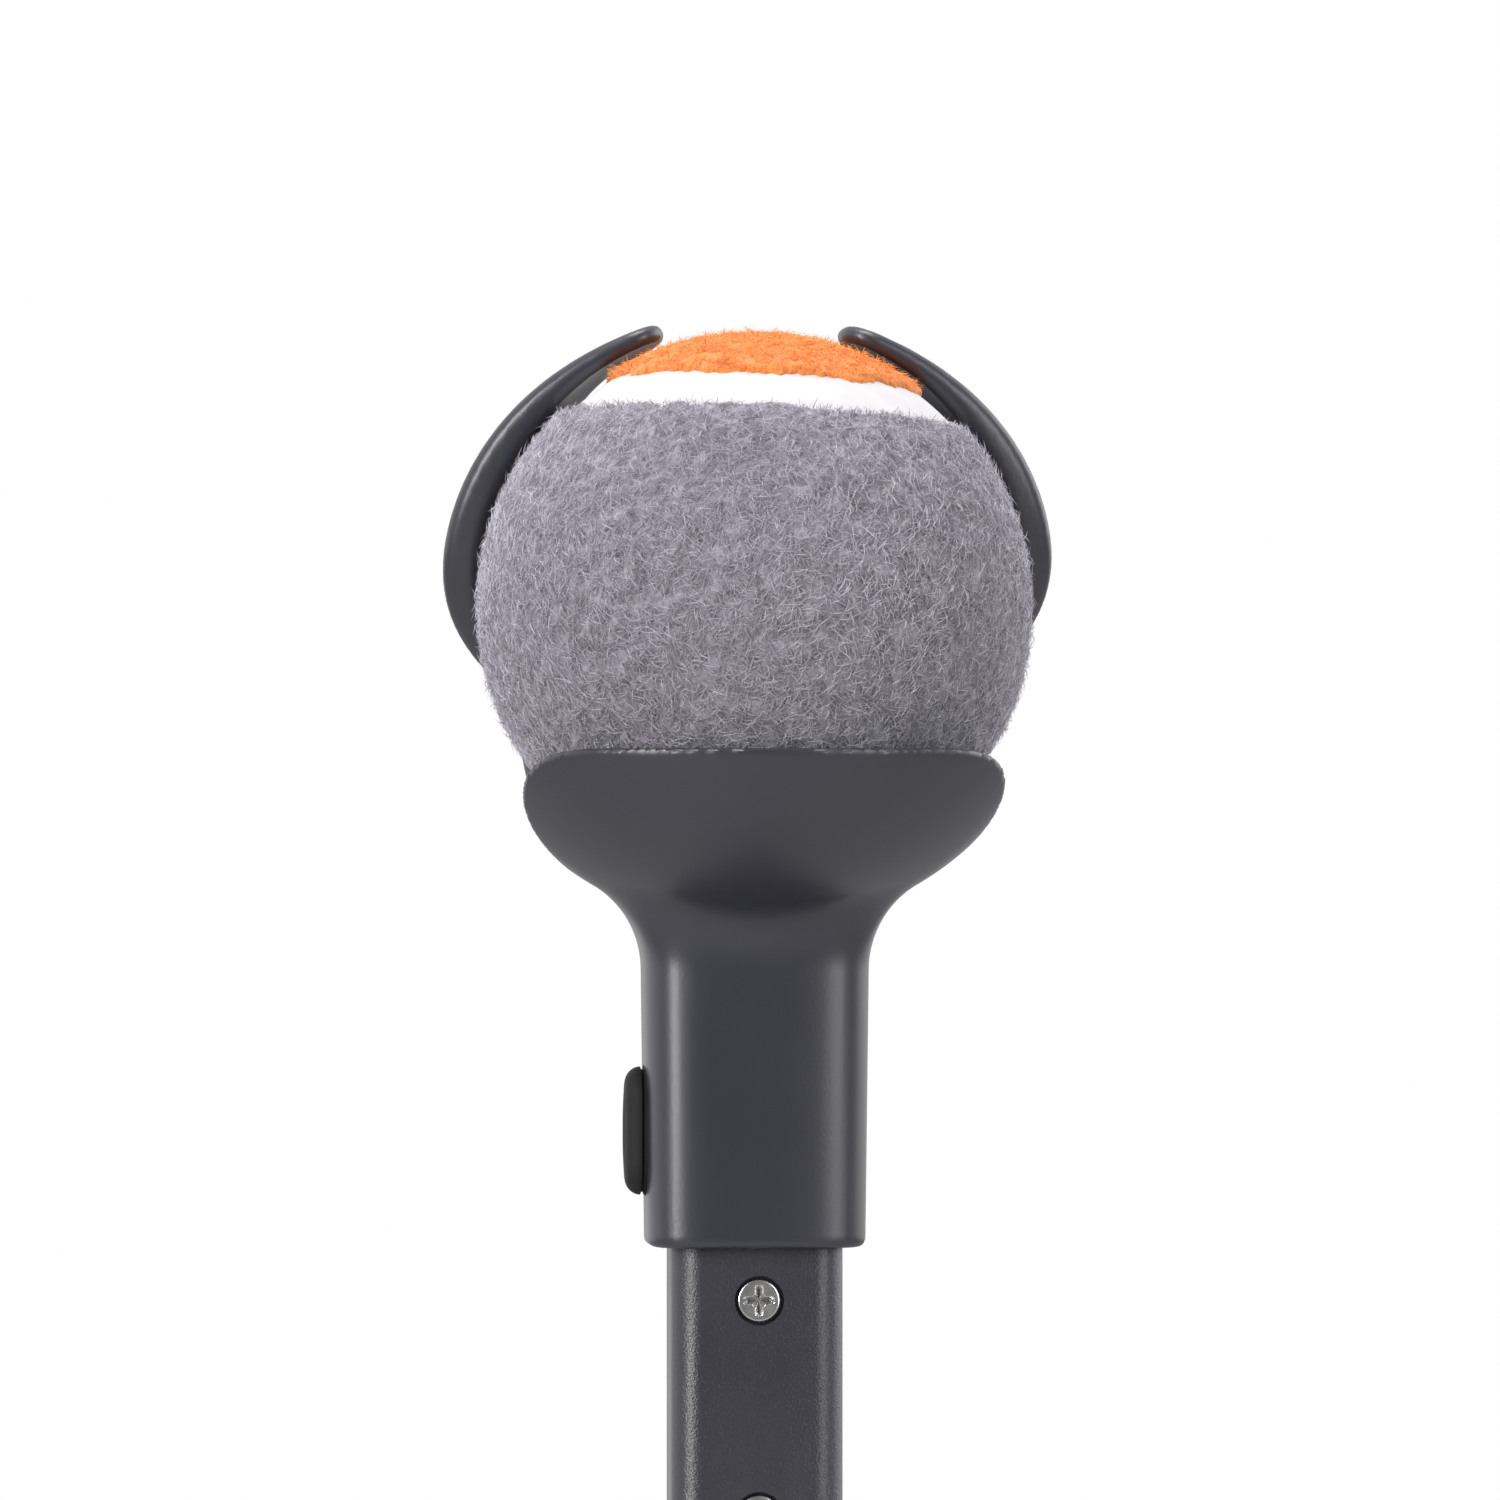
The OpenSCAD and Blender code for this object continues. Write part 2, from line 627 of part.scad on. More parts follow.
module lever_pin() color(steel) lever_pin_place(lever_pin_d, 2 * (cheek_x + cheek_t));

// Height and step of the lever's head above its tooth, and the place of the pad's first rib
head_up = 2;
head_step = 1.2;
rib_first = 5;
rib_count = 4;

// Rocking lever: its tooth locks the shaft, and pressing the ribbed pad lifts the tooth
module length_lever() color(charcoal) difference() {
    union() {
        translate([0, lever_y, lever_z]) rotate([90, 0, 90]) linear_extrude(lever_w, center = true) {
            circle(lever_t / 2);
            translate([-lever_t / 2, 0]) square([lever_t, tooth_arm]);
            translate([-lever_t / 2 + head_step, tooth_arm]) square([lever_t - head_step, head_up]);
            intersection() {
                translate([-lever_t / 2, -pad_drop]) square([lever_t * 2, pad_drop]);
                rotate(pad_lean) translate([-lever_t / 2, -2 * pad_drop]) square([lever_t, 2 * pad_drop]);
            }
            for (k = [0 : rib_count - 1])
                rotate(pad_lean) translate([lever_t / 2, -rib_first - rib_pitch * k]) circle(rib_r);
        }
        tooth_root = lever_y - lever_t / 2;
        translate([-notch_w / 2 + run_clear, shaft_d / 2 - tooth_in, tooth_z - notch_h / 2 + run_clear])
            cube([notch_w - 2 * run_clear, tooth_root - shaft_d / 2 + tooth_in + over, tooth_h]);
    }
    lever_pin_place(lever_pin_d + 2 * fit_clear, collar_w);
}

// Lock spring: its seat on the collar, its bend and its ends below the lever's pin, and its rise
lock_y = collar_d / 2 + leaf_t / 2 + seat_clear;
lock_bend = 7;
lock_end = 12.5;
lock_rise = 2.5;

// Hairpin leaf spring between the collar and the lever's pad
module lock_spring() color(steel)
    translate([-lock_w / 2, lock_y, lever_z]) rotate([90, 0, 90]) linear_extrude(lock_w)
        leaf([[0, -lock_end], [0, -lock_bend], [lock_rise, -lock_end]], leaf_t);

grip_columns = 40;
grip_rows = 26;

// Length of the round at the grip's ends, and the stretch over which the hollows fade there
end_round = 4;
wave_fade = 12;

// The hollows are deeper in front, where the fingers close, and shallower behind
wave_bias = 0.5;

// Ring of the grip at a height: rounded rectangle drawn in by the finger hollows and at the ends
function grip_ring(z) =
    let (end = grip_l / 2 - abs(z),
         lip = grip_edge * (1 - sqrt(1 - pow(1 - min(end / end_round, 1), 2))),
         wave = grip_wave * (1 - cos(360 * z / finger_l)) / 2 * smooth((end - end_round) / wave_fade))
    [for (j = [0 : grip_columns - 1]) let (a = 360 * j / grip_columns,
        r = edge_at(a, grip_w / 2, grip_d / 2, handle_r + grip_t) - lip - wave * (1 - wave_bias * sin(a)))
        [r * cos(a), r * sin(a), z]];

// Rubber grip with finger hollows, pushed over the handle tube
module grip() color(dark) difference() {
    skin([for (k = [-grip_rows : grip_rows]) grip_ring(grip_l / 2 * sin(90 * k / grip_rows))]);
    bar(handle_w + 2 * fit_clear, handle_d + 2 * fit_clear, handle_r + fit_clear, -grip_l, grip_l);
}

hang_z = tube_bottom - cap_l + hang_up;

// End cap: a rounded foot with a hang hole, and a plug that is pinned in the handle tube
module end_cap() color(charcoal) difference() {
    union() {
        intersection() {
            bar(grip_w - 2 * cap_step, grip_d - 2 * cap_step, handle_r + grip_t - cap_step,
                tube_bottom - cap_l, tube_bottom);
            translate([0, grip_d, tube_bottom]) rotate([90, 0, 0]) linear_extrude(2 * grip_d) {
                translate([0, grip_w / 2 - cap_l]) circle(d = grip_w);
                translate([-grip_w / 2, grip_w / 2 - cap_l]) square([grip_w, cap_l]);
            }
        }
        bar(handle_w - 2 * handle_wall - 2 * fit_clear, handle_d - 2 * handle_wall - 2 * fit_clear,
            handle_r - handle_wall - fit_clear, tube_bottom - over, tube_bottom + plug_l);
    }
    translate([0, 0, hang_z]) rotate([90, 0, 0]) cylinder(d = hang_d, h = 2 * grip_d, center = true);
    cap_pin_place(cap_pin_d + 2 * fit_clear, handle_w + 2 * over);
}

module cap_pin_place(d, l) {
    translate([0, 0, tube_bottom + plug_l / 2]) rotate([0, 90, 0]) cylinder(d = d, h = l, center = true);
}

module cap_pin() color(steel) cap_pin_place(cap_pin_d, handle_w - 2 * fit_clear);

// Steps of the fan that cuts a stretch of latitudes out of the ball's shell
fan_steps = 8;

// Part of a ball's shell between two radii and two latitudes, about the ball's leaning pole
module ball_shell(r_in, r_out, low, high) {
    translate([0, 0, ball_z]) rotate([-ball_back, ball_lean, 0]) rotate_extrude() intersection() {
        difference() {
            circle(r_out);
            circle(r_in);
        }
        polygon([[0, 0], for (k = [0 : fan_steps]) let (t = low + (high - low) * k / fan_steps)
            2 * r_out * [cos(t), sin(t)]]);
    }
}

// Radius of the core and inner radius of its cover, and the angle left open beside the band
core_r = ball_r - felt_t;
cover_r = core_r + seat_clear;
band_gap = 0.1;

module ball_core() color([0.25, 0.25, 0.26]) translate([0, 0, ball_z]) difference() {
    sphere(core_r);
    sphere(core_r - core_wall);
}

module ball_felt_grey() color([0.42, 0.42, 0.44]) ball_shell(cover_r, ball_r, -90, band_low);

module ball_seam() color("white")
    ball_shell(cover_r, ball_r - band_recess, band_low + band_gap, band_high - band_gap);

module ball_felt_orange() color([0.95, 0.42, 0.08]) ball_shell(cover_r, ball_r, band_high, 90);

launcher_head();
head_button();
latch_spring();
head_spigot();
spigot_screws();
shaft_tube();
shaft_foot();
foot_pin();
handle_tube();
guide_bush();
collar();
collar_screws();
length_lever();
lever_pin();
lock_spring();
grip();
end_cap();
cap_pin();
ball_core();
ball_felt_grey();
ball_seam();
ball_felt_orange();
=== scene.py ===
import bmesh
import bpy
import numpy as np
from mathutils import Matrix, Vector


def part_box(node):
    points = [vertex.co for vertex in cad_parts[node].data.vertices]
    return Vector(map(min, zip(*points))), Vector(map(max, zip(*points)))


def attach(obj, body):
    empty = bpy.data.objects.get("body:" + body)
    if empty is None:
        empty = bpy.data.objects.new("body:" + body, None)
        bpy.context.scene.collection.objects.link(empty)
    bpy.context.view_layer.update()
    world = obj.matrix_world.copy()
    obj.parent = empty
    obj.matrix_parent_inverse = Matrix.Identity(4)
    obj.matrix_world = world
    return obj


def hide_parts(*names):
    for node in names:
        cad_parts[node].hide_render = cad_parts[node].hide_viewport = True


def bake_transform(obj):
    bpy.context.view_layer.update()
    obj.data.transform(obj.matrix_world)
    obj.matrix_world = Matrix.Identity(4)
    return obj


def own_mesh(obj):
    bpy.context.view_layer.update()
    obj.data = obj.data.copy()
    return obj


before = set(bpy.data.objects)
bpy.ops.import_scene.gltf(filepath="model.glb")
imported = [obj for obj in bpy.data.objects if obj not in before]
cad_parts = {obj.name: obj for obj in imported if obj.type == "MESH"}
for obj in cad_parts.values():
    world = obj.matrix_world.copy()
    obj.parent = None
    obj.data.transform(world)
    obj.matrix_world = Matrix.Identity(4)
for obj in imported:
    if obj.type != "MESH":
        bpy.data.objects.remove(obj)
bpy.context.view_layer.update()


# Handle tube: a straight aluminium extrusion of rounded oblong section, powder coated in charcoal.
# It carries the grip, the collar and the end cap, and the thinner shaft slides inside it.
mm = 0.001


def corners(node):
    """Lowest and highest corner of a CAD node, in millimetres."""
    low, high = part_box(node)
    return np.array(low) / mm, np.array(high) / mm


def oblong(arc, side):
    """Way round an oblong of four corners: the share of its half sizes at which each point's corner
    centre lies, from -1 to 1, and the outward normal. On a straight side the normal stays."""
    turn = np.concatenate([np.linspace(0, 1, arc + 1), np.ones(side - 1)])
    shift = np.concatenate([np.zeros(arc + 1), np.linspace(0, 1, side + 1)[1:-1]])
    corner = np.array([[1, 1], [-1, 1], [-1, -1], [1, -1]])
    run = np.roll(corner, -1, axis=0) - corner
    centre = corner[:, None] + run[:, None] * shift[:, None]
    angle = (np.arange(4)[:, None] + turn) * np.pi / 2
    normal = np.stack([np.cos(angle), np.sin(angle)], axis=-1)
    return centre.reshape(-1, 2), normal.reshape(-1, 2)


def rounded_outline(half_w, half_d, radius, arc=12, side=8):
    """Rounded rectangle, as the centre of the corner arc and the outward normal at each point. The
    outline drawn in by an inset is centre + normal * (radius - inset)."""
    centre, normal = oblong(arc, side)
    return centre * (half_w - radius, half_d - radius), normal, radius


def round_outline(radius, count=64):
    """Circle, as an outline whose corner centres all lie on the axis."""
    angle = np.linspace(0, 2 * np.pi, count, endpoint=False)
    return np.zeros((count, 2)), np.stack([np.cos(angle), np.sin(angle)], axis=1), radius


def stacked(outline, inset, height, share=1.0):
    """Grid of points: row i is the outline drawn in by inset[i] and shrunk to share[i], at height[i]."""
    centre, normal, radius = outline
    inset, height, share = np.broadcast_arrays(np.asarray(inset, float), height, share)
    flat = (centre + normal * (radius - inset)[:, None, None]) * share[:, None, None]
    return np.concatenate([flat, np.broadcast_to(height[:, None, None], flat.shape[:2] + (1,))], axis=2)


def wall_profile(wall, low, high, edge, steps=5):
    """Insets and heights once round a tube's wall: up the outside and down the bore, over quarter
    circles at the four edges."""
    t = np.linspace(0, np.pi / 2, steps)
    up, across = edge * (1 - np.sin(t)), edge * (1 - np.cos(t))
    inset = np.concatenate([up, across, wall - up, wall - across])
    height = np.concatenate([low + across, high - up, high - across, low + up])
    return inset, height


def shaded(piece, sharp=38):
    """Smooth shading, with hard edges where two faces turn by more than an angle in degrees."""
    piece.data.shade_smooth()
    piece.data.set_sharp_from_angle(angle=np.radians(sharp))
    return piece


def mended(mesh, merge=False, fill=False):
    """Merges equal points and fills holes where asked, and turns a mesh's faces outwards."""
    work = bmesh.new()
    work.from_mesh(mesh)
    if merge:
        bmesh.ops.remove_doubles(work, verts=work.verts, dist=1e-4 * mm)
    if fill:
        bmesh.ops.holes_fill(work, edges=work.edges)
    bmesh.ops.recalc_face_normals(work, faces=work.faces)
    work.to_mesh(mesh)
    work.free()


def mesh_piece(name, points, faces):
    """Object of a closed mesh: points in millimetres and faces as rows of indices. Equal points are
    merged, which closes the poles, and the faces are turned outwards."""
    mesh = bpy.data.meshes.new(name)
    mesh.from_pydata(points * mm, [], faces)
    mended(mesh, merge=True)
    piece = bpy.data.objects.new(name, mesh)
    bpy.context.scene.collection.objects.link(piece)
    return shaded(piece)


def skin(name, points, loop=False):
    """Mesh over a grid of points. Columns close into rings, and rows close too where loop is true."""
    index = np.arange(points.shape[0] * points.shape[1]).reshape(points.shape[:2])
    below = index if loop else index[:-1]
    above = np.roll(index, -1, axis=0) if loop else index[1:]
    faces = np.stack([below, np.roll(below, -1, 1), np.roll(above, -1, 1), above], axis=-1)
    return mesh_piece(name, points.reshape(-1, 3), faces.reshape(-1, 4))


def prism(name, outline, low, high):
    """Closed bar of one outline between two heights, with flat ends that close on the axis."""
    return skin(name, stacked(outline, 0, [low, low, high, high], [0, 1, 1, 0]))


def moved(piece, change):
    """Replaces the points of a piece's mesh, in metres, by what a function makes of them."""
    points = np.empty(len(piece.data.vertices) * 3, np.float32)
    piece.data.vertices.foreach_get("co", points)
    piece.data.vertices.foreach_set("co", change(points.reshape(-1, 3)).ravel())
    return piece


def laid_along(piece, order, signs=(1, 1, 1)):
    """Exchanges the axes of a piece, so that its height runs along another one, and may reverse some."""
    moved(piece, lambda points: points[:, order] * np.float32(signs))
    mended(piece.data)
    return piece


def shifted(piece, x=0.0, y=0.0, z=0.0):
    """Moves a piece's mesh by millimetres, so that the object stays at the origin."""
    return moved(piece, lambda points: points + np.float32([x * mm, y * mm, z * mm]))


def joined(piece, tools, operation="DIFFERENCE", sharp=38):
    """Cuts tools out of a piece, or adds them to it, and removes the tools."""
    for tool in tools:
        step = piece.modifiers.new("join", "BOOLEAN")
        step.operation = operation
        step.solver = "EXACT"
        step.object = tool
    seen = piece.evaluated_get(bpy.context.evaluated_depsgraph_get())
    result = bpy.data.meshes.new_from_object(seen)
    piece.modifiers.clear()
    old, piece.data = piece.data, result
    bpy.data.meshes.remove(old)
    for tool in tools:
        bpy.data.meshes.remove(tool.data)
    return shaded(piece, sharp)


def added(tree, kind, **values):
    """New node of a kind in a node tree, with values for its inputs."""
    node = tree.nodes.new(kind)
    for name, value in values.items():
        node.inputs[name].default_value = value
    return node


def linked(tree, *ways):
    """Links each pair of an output and an input."""
    for start, end in ways:
        tree.links.new(start, end)


def two_toned(name, dark, light):
    """New material whose colour is a ramp from dark to light, with its tree, its shader and the ramp."""
    material = bpy.data.materials.new(name)
    material.use_nodes = True
    tree = material.node_tree
    shader = tree.nodes["Principled BSDF"]
    ramp = added(tree, "ShaderNodeValToRGB")
    for stop, (place_on, tint) in zip(ramp.color_ramp.elements, ((0.3, dark), (0.7, light))):
        stop.position, stop.color = place_on, (*tint, 1)
    linked(tree, (ramp.outputs["Color"], shader.inputs["Base Color"]))
    return material, tree, shader, ramp


def finish_of(name, dark, light, rough, patch, grain, depth, metallic=0.0, gleam=0.5):
    """Coat or moulding: a broad noise of patch millimetres mixes two colours and shifts the roughness
    between two values, and a fine noise of grain millimetres stands depth millimetres out as bump.
    The strength of the mirror gleam is even all over."""
    material, tree, shader, colour = two_toned(name, dark, light)
    shader.inputs["Metallic"].default_value = metallic
    shader.inputs["Specular IOR Level"].default_value = gleam
    place = added(tree, "ShaderNodeTexCoord").outputs["Object"]
    broad = added(tree, "ShaderNodeTexNoise", Scale=1 / (patch * mm), Detail=3)
    fine = added(tree, "ShaderNodeTexNoise", Scale=1 / (grain * mm), Detail=2)
    gloss = added(tree, "ShaderNodeMapRange", **{"To Min": rough[0], "To Max": rough[1]})
    bump = added(tree, "ShaderNodeBump", Distance=depth * mm)
    linked(tree, (place, broad.inputs["Vector"]), (place, fine.inputs["Vector"]),
           (broad.outputs["Fac"], colour.inputs["Fac"]), (broad.outputs["Fac"], gloss.inputs["Value"]),
           (gloss.outputs["Result"], shader.inputs["Roughness"]),
           (fine.outputs["Fac"], bump.inputs["Height"]), (bump.outputs["Normal"], shader.inputs["Normal"]))
    return material


def dressed(piece, material):
    """Gives a piece or a CAD node one material."""
    piece.data.materials.clear()
    piece.data.materials.append(material)


def placed(piece, material, body, slot, *nodes):
    """Dresses a new piece, lets it ride on its body, and hides the CAD nodes that it replaces. Its slot is
    not used.
    """
    dressed(piece, material)
    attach(piece, body)
    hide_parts(*nodes)


shaft_coat = finish_of("charcoal powder coat", (0.0205, 0.0205, 0.029), (0.0255, 0.0255, 0.035), (0.32, 0.42),
                       patch=14, grain=0.28, depth=0.07, gleam=0.66)
tube_low, tube_high = corners("handle_tube")
tube_wall, tube_corner = 1.8, 7.1
tube_outline = rounded_outline(tube_high[0], tube_high[1], tube_corner)
handle_tube = skin("handle_tube_coated", stacked(
    tube_outline, *wall_profile(tube_wall, tube_low[2], tube_high[2], edge=0.4)), loop=True)
placed(handle_tube, shaft_coat, "handle", "shaft_coat", "handle_tube")


# Guide bush: a moulded acetal liner in the handle tube's mouth, on which the shaft runs without rattle.
# Its flange hangs on the tube's end and the collar holds it down.
inner_plastic = finish_of("black acetal", (0.016, 0.016, 0.018), (0.024, 0.024, 0.026), (0.4, 0.5),
                          patch=8, grain=0.4, depth=0.01)
dressed(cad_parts["guide_bush"], inner_plastic)


# Collar: a moulded clamp over the handle tube's top, in satin charcoal plastic, held by a screw at
# each side. Its cheeks behind carry the lever's pin, and a slot lets the lever's tooth in.
head_plastic = finish_of("satin charcoal plastic", (0.019, 0.0185, 0.0285), (0.023, 0.0225, 0.034),
                         (0.33, 0.39), patch=22, grain=0.35, depth=0.012, gleam=0.75)
collar_low, collar_high = corners("collar")
pin_low, pin_high = corners("lever_pin")
pin_place = (pin_low + pin_high) / 2
collar_wall, collar_corner, collar_edge = 2.6, 9.8, 1.6
cheek_t, cheek_r, cheek_edge, cheek_sunk = 2.5, 3.5, 0.5, 2.2
sink_r, sink_h = 2.875, 1.2
slot_half, slot_drop, slot_rise, slot_corner, tooth_drop = (3.0, 5.0), 2.1, 2.9, 0.6, 5.0
collar_half_d = -collar_low[1]
collar_outline = rounded_outline(collar_high[0], collar_half_d, collar_corner, arc=18, side=10)


def capsule(name, reach, radius, thickness, edge):
    """Cheek: an upright plate with a round end, as a stadium outline with rounded rims."""
    t = np.linspace(0, np.pi / 2, 4)
    inset = np.concatenate([[edge], edge * (1 - np.sin(t)), edge * (1 - np.cos(t)), [edge]])
    height = np.concatenate([[0], edge * (1 - np.cos(t)), thickness - edge * (1 - np.sin(t)), [thickness]])
    share = np.concatenate([[0], np.ones(8), [0]])
    return skin(name, stacked(rounded_outline(reach, radius, radius), inset, height, share))


# The bore is wide over the handle tube and its bush's flange, and narrow round the shaft above them: the
# third of the profile's four edges, the bore's upper one, moves inwards and a step follows it
flange_top, throat, edge_rows = tube_high[2] + 2.1, 5.9, 5
inset, height = wall_profile(collar_wall, collar_low[2], collar_high[2], collar_edge, edge_rows)
inset[2 * edge_rows:3 * edge_rows] += throat - collar_wall
inset = np.insert(inset, 3 * edge_rows, [throat, collar_wall])
height = np.insert(height, 3 * edge_rows, [flange_top, flange_top])
collar = skin("collar_moulding", stacked(collar_outline, inset, height), loop=True)
cheek_x = pin_high[0] - cheek_t
cheek_root = collar_half_d - cheek_sunk
cheek_half = (pin_place[1] + cheek_r - cheek_root) / 2
cheeks = []
for inner_x in (cheek_x, -cheek_x - cheek_t):
    cheek = laid_along(capsule("cheek", cheek_half, cheek_r, cheek_t, cheek_edge), [2, 0, 1])
    cheeks.append(shifted(cheek, inner_x, cheek_root + cheek_half, pin_place[2]))
collar = joined(collar, cheeks, "UNION")
screw_low, screw_high = corners("collar_screws")
screw_z = (screw_low[2] + screw_high[2]) / 2
tooth_z = collar_high[2] - tooth_drop
tooth_slot = prism("slot", rounded_outline(*slot_half, slot_corner), -slot_drop, slot_rise)
shifted(tooth_slot, 0, collar_half_d - 2, tooth_z)
sinks = []
for side_x in (-collar_high[0], collar_high[0]):
    sink = laid_along(prism("sink", round_outline(sink_r), -sink_h, sink_h), [2, 0, 1])
    sinks.append(shifted(sink, side_x, 0, screw_z))
collar = joined(collar, [tooth_slot, *sinks])
placed(collar, head_plastic, "handle", "head_plastic", "collar")


# Screws: nickel-plated steel pan screws with a cross recess, sunk in counterbores. Two hold the
# collar on the handle tube, one at each side, and two hold the spigot in the shaft's top end.
screw_steel = finish_of("nickel plated steel", (0.56, 0.55, 0.54), (0.68, 0.67, 0.66), (0.2, 0.34),
                        patch=1.2, grain=0.25, depth=0.012, metallic=1.0)
head_r, head_h, head_edge, head_dome, shank_r, point_l, point_r = 2.525, 0.95, 0.3, 0.06, 1.25, 1.5, 0.4
recess_half, recess_w, recess_deep, recess_end, cone_r = 1.8, 0.9, 0.85, 0.5, 0.9
face_sink, collar_screw_l, spigot_screw_l = 0.25, 6, 7


def cross_screw(name, length):
    """Screw on the Z axis with its head's face at 0 and its point at -length.

    Rows run out over the face, round its edge, in under the head and down the shank. The face sinks
    where either of two crossed slots of V section lies under a point, and in a cone at the middle."""
    turn = np.linspace(0, 2 * np.pi, 144, endpoint=False)
    face = np.linspace(0, head_r - head_edge, 44)
    t = np.linspace(0, np.pi / 2, 6)[1:]
    out = np.concatenate([face, head_r - head_edge * (1 - np.sin(t)), [head_r, shank_r, shank_r, point_r, 0]])
    down = np.concatenate([-head_dome * (face / head_r) ** 2, -head_dome - head_edge * (1 - np.cos(t)),
                           [-head_h, -head_h, point_l - length, -length, -length]])
    x, y = out[:, None] * np.cos(turn), out[:, None] * np.sin(turn)
    z = np.broadcast_to(down[:, None], x.shape).copy()

    def slot(along, across):
        wall = np.clip(1 - 2 * np.abs(across) / recess_w, 0, 1)
        end = np.clip((recess_half - np.abs(along)) / recess_end, 0, 1)
        return wall * end

    centre = 1.3 * np.clip(cone_r - np.hypot(x, y), 0, 1)
    sunk = np.maximum(np.maximum(slot(x, y), slot(y, x)), centre)
    z[:len(face)] -= recess_deep * sunk[:len(face)]
    return skin(name, np.stack([x, y, z], axis=-1))


for name, side, replaced in (("collar_screw_right", 1, ["collar_screws"]), ("collar_screw_left", -1, [])):
    screw = laid_along(cross_screw(name, collar_screw_l), [2, 0, 1], (side, side, 1))
    shifted(screw, side * (collar_high[0] - face_sink), 0, screw_z)
    placed(screw, screw_steel, "handle", "screw_steel", *replaced)


# Length lever: a moulded rocker on a steel pin between the collar's cheeks. Its tooth drops into the
# shaft's notches, a leaf spring holds it there, and the ribbed pad is pressed to let the shaft slide.
lever_w, lever_t, lever_edge, top_round, tooth_arm, tooth_half = 8.0, 5.0, 0.35, 1.6, 25.0, (2.7, 1.35)
pad_lean, pad_l, rib_pitch, rib_h, rib_end = np.radians(14), 12.8, 2.4, 0.55, 3.9


def lever_outline():
    """Side view of the lever as distances out from its pin and heights: up the outer face from the
    ribbed pad, over the rounded top, down the inner face and round the pad's foot."""
    lean = np.array([np.sin(pad_lean), -np.cos(pad_lean)])
    away = np.array([np.cos(pad_lean), np.sin(pad_lean)])
    half = lever_t / 2
    s = np.linspace(pad_l, 2.5, 90)
    rib = rib_h * np.clip(np.cos((s - 5) / rib_pitch * 2 * np.pi) * 1.4, 0, 1) * (s > rib_end)
    pad = s[:, None] * lean + (half + rib)[:, None] * away
    t = np.linspace(0, np.pi / 2, 10)[:, None]
    top = np.array([half - top_round, tooth_arm + 0.4])
    top = top + top_round * np.concatenate([np.cos(t), np.sin(t)], axis=1)
    bevel = np.array([[-half + 1.2, tooth_arm + 2], [-half + 1.2, tooth_arm + 0.2], [-half, tooth_arm - 0.6]])
    inner = np.stack([np.full(12, -half), np.linspace(tooth_arm - 2, 1, 12)], axis=1)
    back = np.linspace(0.5, 11.5, 14)[:, None] * lean - half * away
    foot = (pad_l + 0.1) * lean + half * (np.cos(2 * t) * -away + np.sin(2 * t) * lean * 0.55)
    rise = np.stack([np.full(20, half), np.linspace(0, tooth_arm - 1.2, 20)], axis=1)
    return np.concatenate([pad, rise, top, bevel, inner, back, foot])


def plate(name, outline, width, edge, steps=4):
    """Closed plate of a side view drawn in (Y, Z), spread along X, its rims rounded by drawing the
    outline in along its own normals."""
    ahead = np.roll(outline, -1, axis=0) - np.roll(outline, 1, axis=0)
    normal = np.stack([ahead[:, 1], -ahead[:, 0]], axis=1) / np.linalg.norm(ahead, axis=1, keepdims=True)
    t = np.linspace(0, np.pi / 2, steps)
    inset = np.concatenate([edge * (1 - np.sin(t)), edge * (1 - np.cos(t))])
    x = np.concatenate([edge * (1 - np.cos(t)) - width / 2, width / 2 - edge * (1 - np.sin(t))])
    side = outline - normal * inset[:, None, None]
    x = np.broadcast_to(x[:, None, None], side.shape[:2] + (1,))
    piece = skin(name, np.concatenate([x, side], axis=2))
    mended(piece.data, fill=True)
    return shaded(piece)


lever = plate("lever_moulding", lever_outline(), lever_w, lever_edge)
shifted(lever, 0, pin_place[1], pin_place[2])
tooth_low = corners("length_lever")[0][1]
tooth_depth = pin_place[1] - lever_t / 2 + 1 - tooth_low
tooth = laid_along(prism("tooth", rounded_outline(*tooth_half, 0.4), 0, tooth_depth), [0, 2, 1])
shifted(tooth, 0, tooth_low, pin_place[2] + tooth_arm - 0.4)
lever = joined(lever, [tooth], "UNION")
pin_r = (pin_high[2] - pin_low[2]) / 2
pin_hole = prism("hole", round_outline(pin_r + 0.1), -lever_w, lever_w)
lever = joined(lever, [shifted(laid_along(pin_hole, [2, 0, 1]), 0, pin_place[1], pin_place[2])])
placed(lever, head_plastic, "lever", "head_plastic", "length_lever")

spring_steel = finish_of("spring steel", (0.42, 0.42, 0.43), (0.52, 0.52, 0.53), (0.22, 0.36),
                         patch=2, grain=0.3, depth=0.006, metallic=1.0)
for name in ("lever_pin", "foot_pin", "cap_pin"):
    dressed(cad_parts[name], screw_steel)
leaf_t, leaf_edge = 0.5, 0.08
lock_low, lock_high = corners("lock_spring")


def bent(points, ease):
    """Points every quarter millimetre along a line with corners, eased by a running mean to each side."""
    points = np.array(points, float)
    run = np.concatenate([[0], np.cumsum(np.linalg.norm(np.diff(points, axis=0), axis=1))])
    way = np.stack([np.interp(np.arange(0, run[-1], 0.25), run, points[:, k]) for k in (0, 1)], axis=1)
    longer = np.pad(way, ((ease, ease), (0, 0)), mode="reflect", reflect_type="odd")
    share = np.full(2 * ease + 1, 1 / (2 * ease + 1))
    return np.stack([np.convolve(longer[:, k], share, mode="valid") for k in (0, 1)], axis=1)


def leaf_outline(way):
    """Closed outline of a leaf: its line put off to either side by half the leaf's thickness."""
    ahead = np.gradient(way, axis=0)
    off = np.stack([-ahead[:, 1], ahead[:, 0]], axis=1) / np.linalg.norm(ahead, axis=1, keepdims=True)
    return np.concatenate([way - off * leaf_t / 2, (way + off * leaf_t / 2)[::-1]])


